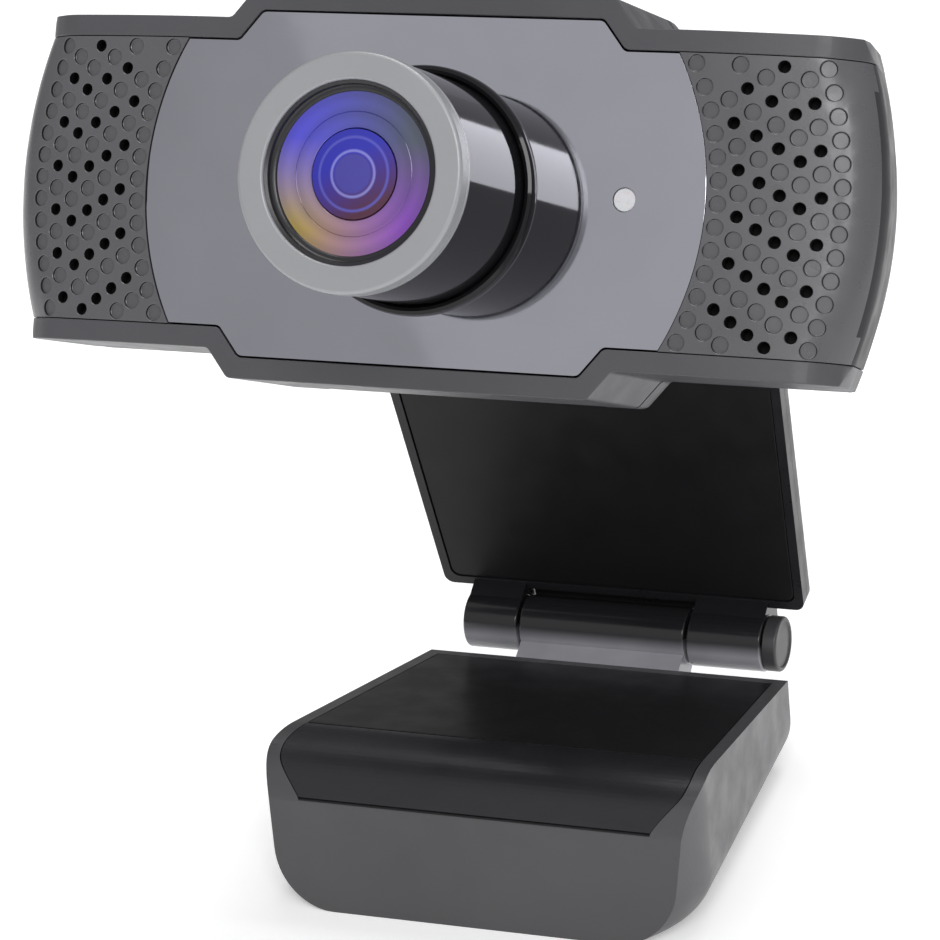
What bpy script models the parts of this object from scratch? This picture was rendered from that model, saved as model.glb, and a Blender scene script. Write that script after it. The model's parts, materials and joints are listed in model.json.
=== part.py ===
"""A desk webcam on a folding clip stand.

The foot stands flat on the ground, the lens looks along -Y and +X is the right
hand of someone facing the lens.  The origin is on the foot's underside.
Lengths are in metres; MM turns a figure in millimetres into metres.
"""
import math

import bmesh
import bpy
from mathutils import Matrix, Vector

MM = 0.001
WELD = 0.00001
GAP = 0.3 * MM              # room between pieces that rest on each other
RUN = 0.35 * MM             # room round pieces that turn or slide

# Head, seen from the front; the lens axis is the middle.
END_RADIUS = 50.5 * MM      # the two ends are arcs round the lens axis
PANEL_RADIUS = 32.4 * MM    # arc between the front panel and a grille
HUMP_HALF = 19.8 * MM       # half width of the raised middle, inside its band
HUMP_HEIGHT = 19.0 * MM
STEP_HALF = 22.4 * MM       # where the slanted step meets the wings
WING_HEIGHT = 15.8 * MM
BAND = 2.3 * MM             # dark band round the front
HOUSING_DEPTH = 16.4 * MM
FLAT_HALF = 26.0 * MM       # the front is flat as far as this
WING_SWEEP = 85.0 * MM      # radius by which the wings sweep back beyond it
SWEEP_END = 46.0 * MM
END_ROUND = 5.0 * MM        # rounding of the ends, seen from above
END_TAPER = 2.1 * MM        # the ends draw in by this towards the rear
POCKET_DEPTH = 1.9 * MM
SKIN = 1.4 * MM             # front panel and grilles
PANEL_SET = 0.15 * MM       # how far the panel lies below the band's front
LEDGE = 1.2 * MM            # wall behind the panel
CORE_HALF = 44.5 * MM       # half width of the housing under the grilles
REAR_DEPTH = 10.3 * MM
REAR_WALL = 1.8 * MM
REAR_TAPER = 0.22
HEAD_PITCH = math.radians(24.0)

# Grille holes: columns on arcs round the lens axis.
HOLE_FIRST = 33.7 * MM
HOLE_COLUMN = 2.15 * MM
HOLE_PITCH = 2.44 * MM
HOLE_RADIUS = 0.68 * MM
HOLE_ROWS = 13

# Lens and focus ring.
BARREL_RADIUS = 12.4 * MM
BARREL_WALL = 1.2 * MM
BARREL_LENGTH = 16.0 * MM
RING_RADIUS = 12.6 * MM
RING_LENGTH = 2.6 * MM
LENS_OPENING = 9.65 * MM
SKIRT_WALL = 0.9 * MM
SKIRT_LENGTH = 7.0 * MM
COLLAR_WIDTH = 1.1 * MM
COLLAR_HEIGHT = 0.9 * MM
CELL_WALL = 3.0 * MM
CELL_FRONT = 14.6 * MM
CELL_REAR_RADIUS = 5.8 * MM
ELEMENT_RADIUS = 6.1 * MM

# Board and what is on it.
BOARD = Vector((62.0, 1.0, 24.0)) * MM
BOARD_Y = 8.0 * MM
LED_X = 23.5 * MM
LED_RADIUS = 1.25 * MM
MIC_X = 38.0 * MM
MIC_RADIUS = 2.8 * MM
HOLDER_HALF = 10.0 * MM
HOLDER_SCREW = 7.8 * MM     # from the lens axis, across and up
BOARD_SCREW = Vector((27.0, 0.0, 9.0)) * MM
COVER_SCREW = Vector((40.0, 0.0, 13.0)) * MM
POST_RADIUS = 2.2 * MM
SCREW_RADIUS = 0.75 * MM
SCREW_HOLE = SCREW_RADIUS + GAP
SCREW_HEAD = 1.6 * MM
SCREW_HEAD_HEIGHT = 1.0 * MM
SCREW_BEVEL = 0.35 * MM
GLAND_X = -20.0 * MM
GLAND_RADIUS = 2.8 * MM
CORD_HOLE = 1.9 * MM

# Clip stand.
LEAN = math.radians(16.1)   # the plate leans towards the front
HINGE_Y = 25.7 * MM
HINGE_Z = 13.9 * MM
KNUCKLE_RADIUS = 3.55 * MM
PIN_RADIUS = 1.5 * MM
KNUCKLES = (-19.6 * MM, -12.3 * MM, 9.6 * MM, 19.2 * MM)
CAP_LENGTH = 1.7 * MM
CAP_RADIUS = 3.4 * MM
PLATE_FACE = 2.55 * MM      # the plate's front face, behind the hinge axis
PLATE_THICK = 3.2 * MM
PLATE_BOTTOM = 3.4 * MM
PLATE_TOP = 50.0 * MM
PLATE_HALF_BOTTOM = 23.6 * MM
PLATE_HALF_TOP = 25.7 * MM
PLATE_RIM = 1.1 * MM
PAD_THICK = 0.9 * MM
NOTCH_HALF = 8.85 * MM
NOTCH_DEPTH = 9.0 * MM
TILT_UP = 55.0 * MM         # tilt axis above the clip hinge, along the plate
TILT_V = PLATE_FACE + PLATE_THICK / 2
EAR_RADIUS = 3.4 * MM
EAR_LENGTH = 5.0 * MM
TILT_PIN_RADIUS = 1.3 * MM

# Neck: from the tilt axis to the swivel under the head.
TILT_BACK = 42.7 * MM       # the tilt axis, behind the head's front
TILT_DROP = 2.3 * MM        # and below the lens axis
SWIVEL_BACK = 25.5 * MM
SWIVEL_RADIUS = 7.5 * MM
SWIVEL_TOP = -12.3 * MM
SWIVEL_THICK = 3.6 * MM
ARM_HALF = 6.0 * MM
SWIVEL_PIN = 1.4 * MM

# Foot, seen from the side; its underside is flat.
FOOT_FRONT = -27.0 * MM
FOOT_LENGTH = 47.6 * MM
LIP_Y = 2.2 * MM
LIP_Z = 12.6 * MM
CREASE_Y = 12.8 * MM
CREASE_Z = 17.6 * MM
REAR_Y = 47.3 * MM
REAR_Z = 11.65 * MM
FOOT_HALF_REAR = 23.3 * MM
FOOT_HALF_FRONT = 27.2 * MM
FRONT_NARROW = 3.4 * MM     # the sides draw in again over the last NARROW_FROM
NARROW_FROM = 8.0 * MM
LIP_NARROW = 2.4 * MM       # the front pad draws in further towards the lip
LIP_RUN = 3.4 * MM
FOOT_STATIONS = [y * MM for y in (1.2, 2.2, 3.2, 4.4, 5.6, 8.0, 12.8)]
FOOT_WALL = 1.6 * MM
FOOT_ROUND = 6.5 * MM
FOOT_PAD = 1.5 * MM
INSERT_RADIUS = 4.0 * MM
INSERT_HOLE = 2.6 * MM
INSERT_LENGTH = 7.5 * MM
INSERT_Y = -9.0 * MM

THIN_SLICED = ("front_housing", "rear_cover", "foot_housing")   # EXACT leaves slits in these
STATIONS = [FLAT_HALF + (SWEEP_END - FLAT_HALF) * i / 5 for i in range(6)]


# ---------------------------------------------------------------- scene set-up
def clear_scene():
    for item in list(bpy.data.objects):
        bpy.data.objects.remove(item, do_unlink=True)


def collection(name):
    group = bpy.data.collections.new(name)
    bpy.context.scene.collection.children.link(group)
    return group


def material(name, colour, roughness, metallic=0.0):
    """A plain Principled material with the piece's colour and finish."""
    mat = bpy.data.materials.new(name)
    mat.use_nodes = True
    shader = mat.node_tree.nodes["Principled BSDF"]
    shader.inputs["Base Color"].default_value = (*colour, 1.0)
    shader.inputs["Roughness"].default_value = roughness
    shader.inputs["Metallic"].default_value = metallic
    return mat


clear_scene()
PARTS = collection("clip_webcam")
CUTTERS = collection("cutters")


def empty(name, location, pitch=0.0, parent=None):
    """An axis that pieces hang from, given in world coordinates."""
    axis = bpy.data.objects.new(name, None)
    axis.empty_display_size = 5 * MM
    PARTS.objects.link(axis)
    world = Matrix.Translation(location) @ Matrix.Rotation(pitch, 4, 'X')
    if parent:
        axis.parent = parent
        bpy.context.view_layer.update()
        axis.matrix_basis = parent.matrix_world.inverted() @ world
    else:
        axis.matrix_basis = world
    bpy.context.view_layer.update()
    return axis


class Frame:
    """A body's axis, and where the origin of its pieces' sketches lies from it."""

    def __init__(self, axis, origin=(0.0, 0.0, 0.0)):
        self.axis = axis
        self.origin = Vector(origin)

    def hold(self, item):
        item.parent = self.axis
        item.location = self.origin


def piece(name, mesh, frame, colour, roughness=0.5, metallic=0.0):
    """One named sub-part with its own material."""
    item = bpy.data.objects.new(name, mesh)
    mesh.name = name
    mesh.materials.clear()
    mesh.materials.append(material(name, colour, roughness, metallic))
    mesh.shade_smooth()
    mesh.set_sharp_from_angle(angle=math.radians(30))
    PARTS.objects.link(item)
    frame.hold(item)
    return item


def shape(item, operation, mesh):
    """Cut, join or keep what is common with a second, hidden solid."""
    cutter = bpy.data.objects.new(item.name + "_" + operation.lower(), mesh)
    cutter.display_type = 'WIRE'
    cutter.hide_render = True
    CUTTERS.objects.link(cutter)
    cutter.parent = item.parent
    cutter.location = item.location
    modifier = item.modifiers.new(operation.lower(), 'BOOLEAN')
    modifier.operation = operation
    modifier.solver = 'MANIFOLD' if item.name in THIN_SLICED else 'EXACT'
    modifier.object = cutter


def cut(item, *meshes):
    for mesh in meshes:
        shape(item, 'DIFFERENCE', mesh)


def join(item, *meshes):
    for mesh in meshes:
        shape(item, 'UNION', mesh)


# ------------------------------------------------------------------ solid kinds
def to_mesh(bm):
    """A mesh of the solid, in triangles, with every face pointing out."""
    bmesh.ops.dissolve_degenerate(bm, dist=WELD / 2, edges=bm.edges)
    bmesh.ops.triangulate(bm, faces=bm.faces)
    bmesh.ops.recalc_face_normals(bm, faces=bm.faces)
    if bm.calc_volume(signed=True) < 0:
        bmesh.ops.reverse_faces(bm, faces=bm.faces)
    mesh = bpy.data.meshes.new("solid")
    bm.to_mesh(mesh)
    bm.free()
    return mesh


def evaluated_bmesh(item):
    """The mesh of a temporary object, welded, with the object removed."""
    bpy.context.scene.collection.objects.link(item)
    graph = bpy.context.evaluated_depsgraph_get()
    mesh = bpy.data.meshes.new_from_object(item.evaluated_get(graph))
    bpy.data.objects.remove(item, do_unlink=True)
    bm = bmesh.new()
    bm.from_mesh(mesh)
    bpy.data.meshes.remove(mesh)
    bmesh.ops.remove_doubles(bm, verts=bm.verts, dist=WELD)
    return bm


# Columns turn the outline's two directions and its depth into X, Y and Z.
FRONT_VIEW = Matrix(((1, 0, 0), (0, 0, 1), (0, 1, 0))).to_4x4()
SIDE_VIEW = Matrix(((0, 0, 1), (1, 0, 0), (0, 1, 0))).to_4x4()
TOP_VIEW = Matrix.Identity(4)


def prism(loops, low, high, view):
    """An outline, with any holes as further loops, drawn out from low to high."""
    curve = bpy.data.curves.new("outline", 'CURVE')
    curve.dimensions = '2D'
    curve.fill_mode = 'BOTH'
    curve.extrude = (high - low) / 2
    for loop in loops:
        spline = curve.splines.new('POLY')
        spline.points.add(len(loop) - 1)
        for point, (a, b) in zip(spline.points, loop):
            point.co = (a, b, 0.0, 1.0)
        spline.use_cyclic_u = True
    bm = evaluated_bmesh(bpy.data.objects.new("outline", curve))
    bmesh.ops.dissolve_limit(bm, angle_limit=math.radians(1), verts=bm.verts, edges=bm.edges)
    bmesh.ops.translate(bm, verts=bm.verts, vec=(0, 0, (high + low) / 2))
    bm.transform(view)
    return bm


def box(x, y, z):
    """A block between the given low and high values."""
    bm = bmesh.new()
    bmesh.ops.create_cube(bm, size=1.0)
    size = Vector((x[1] - x[0], y[1] - y[0], z[1] - z[0]))
    middle = Vector((x[0] + x[1], y[0] + y[1], z[0] + z[1])) / 2
    bmesh.ops.scale(bm, verts=bm.verts, vec=size)
    bmesh.ops.translate(bm, verts=bm.verts, vec=middle)
    return bm


AXES = {'X': (SIDE_VIEW, 0), 'Y': (FRONT_VIEW, 1), 'Z': (TOP_VIEW, 2)}


def rod(radius, low, high, along, at=(0.0, 0.0), steps=32):
    """A cylinder along X, Y or Z; at is its place in the other two directions."""
    bm = bmesh.new()
    bmesh.ops.create_cone(bm, cap_ends=True, segments=steps, radius1=radius,
                          radius2=radius, depth=high - low)
    bmesh.ops.translate(bm, verts=bm.verts, vec=(at[0], at[1], (low + high) / 2))
    bm.transform(AXES[along][0])
    return bm


def turned(profile, along='Y', at=(0.0, 0.0), steps=40):
    """A closed profile of (radius, position) points turned round an axis."""
    mesh = bpy.data.meshes.new("profile")
    count = len(profile)
    on_axis = profile[0][0] < WELD and profile[-1][0] < WELD
    links = [(i, (i + 1) % count) for i in range(count - (1 if on_axis else 0))]
    mesh.from_pydata([(r, 0.0, p) for r, p in profile], links, [])
    item = bpy.data.objects.new("profile", mesh)
    screw = item.modifiers.new("turn", 'SCREW')
    screw.steps = steps
    screw.render_steps = steps
    screw.use_merge_vertices = True
    screw.merge_threshold = WELD
    bm = evaluated_bmesh(item)
    bmesh.ops.translate(bm, verts=bm.verts, vec=(at[0], at[1], 0))
    bm.transform(AXES[along][0])
    return bm


def ring(outer, inner, low, high, along='Y', at=(0.0, 0.0), steps=40):
    profile = [(outer, low), (outer, high), (inner, high), (inner, low)]
    return turned(profile, along, at, steps)


def arc(centre, radius, start, end, steps):
    """Points on an arc, angles in radians from the first direction."""
    turns = [start + (end - start) * i / steps for i in range(steps + 1)]
    return [(centre[0] + radius * math.cos(t), centre[1] + radius * math.sin(t)) for t in turns]


def circle(centre, radius, steps=32):
    return arc(centre, radius, 0.0, 2 * math.pi, steps)[:-1]


# ------------------------------------------------------------- the head's forms
def bow(x):
    """How far the front has swept back at this distance from the middle."""
    reach = min(abs(x), SWEEP_END)
    for low, high in zip(STATIONS, STATIONS[1:]):
        if low < reach <= high:
            ends = [(s - FLAT_HALF) ** 2 / (2 * WING_SWEEP) for s in (low, high)]
            return ends[0] + (ends[1] - ends[0]) * (reach - low) / (high - low)
    return 0.0


def slice_across(bm, direction, places):
    """Add edge loops where the form will bend."""
    for place in places:
        geometry = bm.verts[:] + bm.edges[:] + bm.faces[:]
        bmesh.ops.bisect_plane(bm, geom=geometry, dist=WELD / 10,
                               plane_co=Vector(direction) * place, plane_no=direction)


def swept(bm):
    """Bend a flat solid so that its wings follow the front's sweep and the ends' taper."""
    slice_across(bm, (1, 0, 0), [side * s for s in STATIONS for side in (-1, 1)])
    slice_across(bm, (0, 1, 0), [END_ROUND])
    for vert in bm.verts:
        depth = min(max(vert.co.y / HOUSING_DEPTH, 0.0), 1.0)
        back = min(max((vert.co.y - END_ROUND) / (HOUSING_DEPTH - END_ROUND), 0.0), 1.0)
        outside = max(abs(vert.co.x) - FLAT_HALF, 0.0) / (END_RADIUS - FLAT_HALF)
        vert.co.x -= math.copysign(END_TAPER * back * outside, vert.co.x)
        vert.co.y += bow(vert.co.x) * (1 - depth)
    return bm


def head_outline(out, end, steps=8):
    """The head's front outline, moved outwards by out; the ends have radius end."""
    fall = HUMP_HEIGHT - WING_HEIGHT
    run = STEP_HALF - HUMP_HALF
    slant = math.hypot(fall, run)
    shift = out * (1 - run / slant) / (fall / slant)
    corners = [(HUMP_HALF + shift, HUMP_HEIGHT + out), (STEP_HALF + shift, WING_HEIGHT + out)]
    turn = math.asin((WING_HEIGHT + out) / end)
    right = corners + arc((0, 0), end, turn, -turn, steps) + [(x, -z) for x, z in corners[::-1]]
    return right + [(-x, -z) for x, z in right]


def block_outline(out, half):
    """The same outline with straight ends at half the width given."""
    top = head_outline(out, END_RADIUS, 1)
    return [(math.copysign(min(abs(x), half), x) if abs(x) > STEP_HALF * 1.2 else x, z) for x, z in top]


def end_waste(half, side):
    """What lies outside a rounded front corner, seen from above."""
    rounded = arc((half - END_ROUND, END_ROUND), END_ROUND, -math.pi * 0.42, 0.0, 5)
    front = (rounded[0][0] - 2 * MM, -MM)
    loop = [front] + rounded + [(half, HOUSING_DEPTH + MM), (half + 9 * MM, HOUSING_DEPTH + MM),
                                (half + 9 * MM, -MM)]
    return [(side * x, y) for x, y in loop]


def front_housing(head):
    item = piece("front_housing", to_mesh(swept(prism(
        [head_outline(BAND, END_RADIUS)], 0.0, HOUSING_DEPTH, FRONT_VIEW))),
        head, (0.07, 0.07, 0.075), 0.5)
    band_half = math.sqrt(END_RADIUS ** 2 - WING_HEIGHT ** 2)
    for side in (-1, 1):
        cut(item, to_mesh(swept(prism([end_waste(band_half, side)], -30 * MM, 30 * MM, TOP_VIEW))))
    pocket = prism([block_outline(0.0, 60 * MM)], -2 * MM, POCKET_DEPTH, FRONT_VIEW)
    hollow = prism([block_outline(0.0, CORE_HALF - 1.5 * MM)],
                   POCKET_DEPTH + LEDGE, HOUSING_DEPTH + MM, FRONT_VIEW)
    cut(item, to_mesh(swept(pocket)), to_mesh(swept(hollow)))
    slot = WING_HEIGHT - 0.05 * MM
    for side in (-1, 1):
        ends = sorted((side * CORE_HALF, side * 60 * MM))
        cut(item, to_mesh(swept(box(ends, (-MM, HOUSING_DEPTH + MM), (-slot, slot)))))
    cut(item, to_mesh(rod(BARREL_RADIUS + GAP, -MM, POCKET_DEPTH + 2 * MM, 'Y')))
    cut(item, to_mesh(rod(LED_RADIUS + GAP, -MM, POCKET_DEPTH + 2 * MM, 'Y', (LED_X, 0))))
    for side in (-1, 1):
        vent = sorted((side * (MIC_X - 4.5 * MM), side * (MIC_X + 4.0 * MM)))
        cut(item, to_mesh(box(vent, (0.5 * MM, POCKET_DEPTH + LEDGE + 4 * MM), (-9.5 * MM, 9.5 * MM))))
    for x, z in cover_screw_places():
        post = POCKET_DEPTH + bow(abs(x) + POST_RADIUS) + 0.5 * MM
        join(item, to_mesh(rod(POST_RADIUS, post, HOUSING_DEPTH - GAP, 'Y', (x, z), 16)))
        cut(item, to_mesh(rod(SCREW_HOLE, 8 * MM, HOUSING_DEPTH + MM, 'Y', (x, z), 12)))
    for place in board_screw_places():
        join(item, to_mesh(rod(POST_RADIUS, POCKET_DEPTH + 0.6 * MM, BOARD_Y - GAP, 'Y', place, 16)))
        cut(item, to_mesh(rod(SCREW_HOLE, BOARD_Y - 3.5 * MM, BOARD_Y + MM, 'Y', place, 12)))


def cover_screw_places():
    return [(sx * COVER_SCREW.x, sz * COVER_SCREW.z) for sz in (1, -1) for sx in (-1, 1)]


def board_screw_places():
    return [(-BOARD_SCREW.x, BOARD_SCREW.z), (BOARD_SCREW.x, BOARD_SCREW.z)]


def screw(name, head, x, z, seat, length):
    """A pan-head screw that points forwards, its head against seat."""
    back = seat + SCREW_HEAD_HEIGHT
    profile = [(0, back), (SCREW_HEAD * 0.8, back), (SCREW_HEAD, back - SCREW_BEVEL), (SCREW_HEAD, seat),
               (SCREW_RADIUS, seat), (SCREW_RADIUS, seat - length), (0, seat - length - 0.4 * MM)]
    piece(name, to_mesh(turned(profile, 'Y', (x, z), 16)), head, (0.5, 0.5, 0.52), 0.3, 1.0)


def front_panel(head):
    corner = math.asin((WING_HEIGHT - GAP) / PANEL_RADIUS)
    shift = [(HUMP_HALF - GAP / 2, HUMP_HEIGHT - GAP), (STEP_HALF - GAP / 2, WING_HEIGHT - GAP)]
    right = shift + arc((0, 0), PANEL_RADIUS, corner, -corner, 12) + [(x, -z) for x, z in shift[::-1]]
    outline = right + [(-x, -z) for x, z in right]
    holes = [circle((0, 0), BARREL_RADIUS + GAP, 48), circle((LED_X, 0), LED_RADIUS + GAP, 16)]
    bm = prism([outline] + holes, PANEL_SET, PANEL_SET + SKIN, FRONT_VIEW)
    piece("front_panel", to_mesh(swept(bm)), head, (0.27, 0.27, 0.3), 0.05, 0.9)


def is_hole(column, row):
    """Which places in the grille's pattern go right through."""
    if column in (0, 6) or (column == 1 and row == 0):
        return False
    return row % 2 == (0 if column in (1, 4) else 1)


def grille(name, head, side):
    """A skin from the panel's arc, round the end and back along the side."""
    inner = PANEL_RADIUS + GAP
    depth = HOUSING_DEPTH - 0.8 * MM
    front = [(s, 0.0) for s in (inner, END_RADIUS - END_ROUND)]
    centre = (END_RADIUS - END_ROUND, END_ROUND)
    outer = front[:1] + arc(centre, END_ROUND, -math.pi / 2, 0.0, 6) + [(END_RADIUS, depth)]
    back = arc(centre, END_ROUND - SKIN, 0.0, -math.pi / 2, 6)
    outline = outer + [(END_RADIUS - SKIN, depth)] + back + [(inner, SKIN)]
    top = WING_HEIGHT - GAP
    bm = prism([outline], -top, top, TOP_VIEW)
    slice_across(bm, (0, 0, 1), [top * i / 3 for i in range(-2, 3)])
    for vert in bm.verts:
        vert.co.x = side * math.sqrt(vert.co.x ** 2 - vert.co.z ** 2)
    item = piece(name, to_mesh(swept(bm)), head, (0.09, 0.09, 0.095), 0.5)
    holes = bmesh.new()
    for column in range(1, 6):
        rows = HOLE_ROWS - column % 2
        for row in range(rows):
            if not is_hole(column, row):
                continue
            z = HOLE_PITCH * ((rows - 1) / 2 - row)
            x = side * math.sqrt((HOLE_FIRST + HOLE_COLUMN * column) ** 2 - z ** 2)
            pin = rod(HOLE_RADIUS, -MM, POCKET_DEPTH + 3 * MM, 'Y', (x, z), 6)
            mesh = to_mesh(pin)
            holes.from_mesh(mesh)
            bpy.data.meshes.remove(mesh)
    cut(item, to_mesh(holes))


def rear_form(out, low, high):
    """The head's outline drawn back and tapered towards the rear."""
    start = HOUSING_DEPTH + GAP
    bm = prism([head_outline(BAND - out, END_RADIUS - END_TAPER - 0.6 * MM - out, 6)], low, high, FRONT_VIEW)
    slice_across(bm, (0, 1, 0), [start + REAR_DEPTH * part for part in (0.35, 0.6, 0.8, 0.93)])
    for vert in bm.verts:
        part = min(max((vert.co.y - start) / REAR_DEPTH, 0.0), 1.0)
        narrow = 1 - REAR_TAPER * part ** 3
        vert.co.x *= narrow
        vert.co.z *= narrow
    return to_mesh(bm)


def rear_cover(head):
    start = HOUSING_DEPTH + GAP
    end = start + REAR_DEPTH
    item = piece("rear_cover", rear_form(0.0, start, end), head, (0.06, 0.06, 0.065), 0.5)
    cut(item, rear_form(REAR_WALL, start - MM, end - REAR_WALL))
    shelf = SWIVEL_TOP + RUN
    half = 17.0 * MM
    join(item, to_mesh(box((-half - MM, half + MM), (start + 0.4 * MM, end - REAR_WALL / 2),
                           (shelf - MM, shelf + REAR_WALL))))
    join(item, to_mesh(box((-4 * MM, 4 * MM), (SWIVEL_BACK - 4 * MM, end - REAR_WALL / 3),
                           (shelf - 0.5 * MM, shelf + 6 * MM))))
    cut(item, to_mesh(box((-half, half), (start - MM, end + MM), (-30 * MM, shelf))))
    cut(item, to_mesh(rod(SWIVEL_PIN + GAP, shelf - MM, shelf + 5 * MM, 'Z', (0, SWIVEL_BACK), 20)))
    for x, z in cover_screw_places():
        join(item, to_mesh(rod(SCREW_HEAD + 1.4 * MM, start + 0.2 * MM, start + 5 * MM, 'Y', (x, z), 20)))
        cut(item, to_mesh(rod(SCREW_HOLE, start - MM, end, 'Y', (x, z), 12)))
        cut(item, to_mesh(rod(SCREW_HEAD + GAP, start + 2 * MM, end + MM, 'Y', (x, z), 20)))
    cut(item, to_mesh(rod(GLAND_RADIUS + GAP, end - 6 * MM, end + MM, 'Y', (GLAND_X, 0), 24)))


def lens(head, focus, cell):
    """The fixed barrel, the ring that focuses and the cell that it moves."""
    inner = BARREL_RADIUS - BARREL_WALL
    flange = POCKET_DEPTH + LEDGE + GAP
    barrel = [(BARREL_RADIUS, -BARREL_LENGTH), (BARREL_RADIUS, flange), (BARREL_RADIUS + 2.6 * MM, flange),
              (BARREL_RADIUS + 2.6 * MM, flange + 1.2 * MM), (inner, flange + 1.2 * MM),
              (inner, -BARREL_LENGTH)]
    piece("lens_barrel", to_mesh(turned(barrel, steps=48)), head, (0.01, 0.01, 0.011), 0.08)
    wide = BARREL_RADIUS + COLLAR_WIDTH
    collar = ring(wide, BARREL_RADIUS + GAP, -COLLAR_HEIGHT, PANEL_SET - GAP, steps=48)
    piece("barrel_collar", to_mesh(collar), head, (0.02, 0.02, 0.022), 0.15)
    back = -BARREL_LENGTH - GAP
    front = back - RING_LENGTH
    skirt = inner - RUN
    soft = 0.5 * MM
    profile = [(RING_RADIUS - soft, front), (RING_RADIUS, front + soft), (RING_RADIUS, back), (skirt, back),
               (skirt, back + SKIRT_LENGTH), (skirt - SKIRT_WALL, back + SKIRT_LENGTH),
               (skirt - SKIRT_WALL, back + 0.9 * MM), (LENS_OPENING, back + 0.4 * MM),
               (LENS_OPENING, front + soft), (LENS_OPENING + soft, front)]
    piece("focus_ring", to_mesh(turned(profile, steps=48)), focus, (0.5, 0.5, 0.51), 0.35)
    glass = LENS_OPENING - GAP
    dome = [(0, front + 0.5 * MM), (glass * 0.5, front + 0.75 * MM), (glass * 0.85, front + 1.2 * MM),
            (glass, front + 1.6 * MM), (glass, back), (0, back)]
    piece("front_glass", to_mesh(turned(dome, steps=40)), focus, (0.05, 0.05, 0.25), 0.03)
    outer = skirt - SKIRT_WALL - RUN
    bore = outer - CELL_WALL
    seat = -CELL_FRONT
    tube = [(outer, seat), (outer, -2 * MM), (CELL_REAR_RADIUS, -2 * MM), (CELL_REAR_RADIUS, 4.6 * MM),
            (CELL_REAR_RADIUS - 1.2 * MM, 4.6 * MM), (CELL_REAR_RADIUS - 1.2 * MM, -4 * MM), (bore, -6 * MM),
            (bore, seat)]
    piece("lens_cell", to_mesh(turned(tube, steps=40)), cell, (0.02, 0.02, 0.02), 0.5)
    baffle = ring(outer - 0.3 * MM, bore, seat - GAP - 0.8 * MM, seat - GAP)
    piece("lens_baffle", to_mesh(baffle), cell, (0.03, 0.03, 0.035), 0.4)
    edge = bore - GAP
    element = [(0, seat), (edge * 0.55, seat + 0.4 * MM), (edge, seat + 1.6 * MM), (edge, seat + 4 * MM),
               (0, seat + 4 * MM)]
    piece("front_element", to_mesh(turned(element, steps=32)), cell, (0.04, 0.04, 0.2), 0.03)
    small = CELL_REAR_RADIUS - 1.2 * MM - GAP
    rear = [(0, 0.6 * MM), (small, 0.6 * MM), (small, 2.6 * MM), (small * 0.6, 3.3 * MM), (0, 3.6 * MM)]
    piece("rear_element", to_mesh(turned(rear, steps=24)), cell, (0.04, 0.05, 0.06), 0.03)


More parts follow.
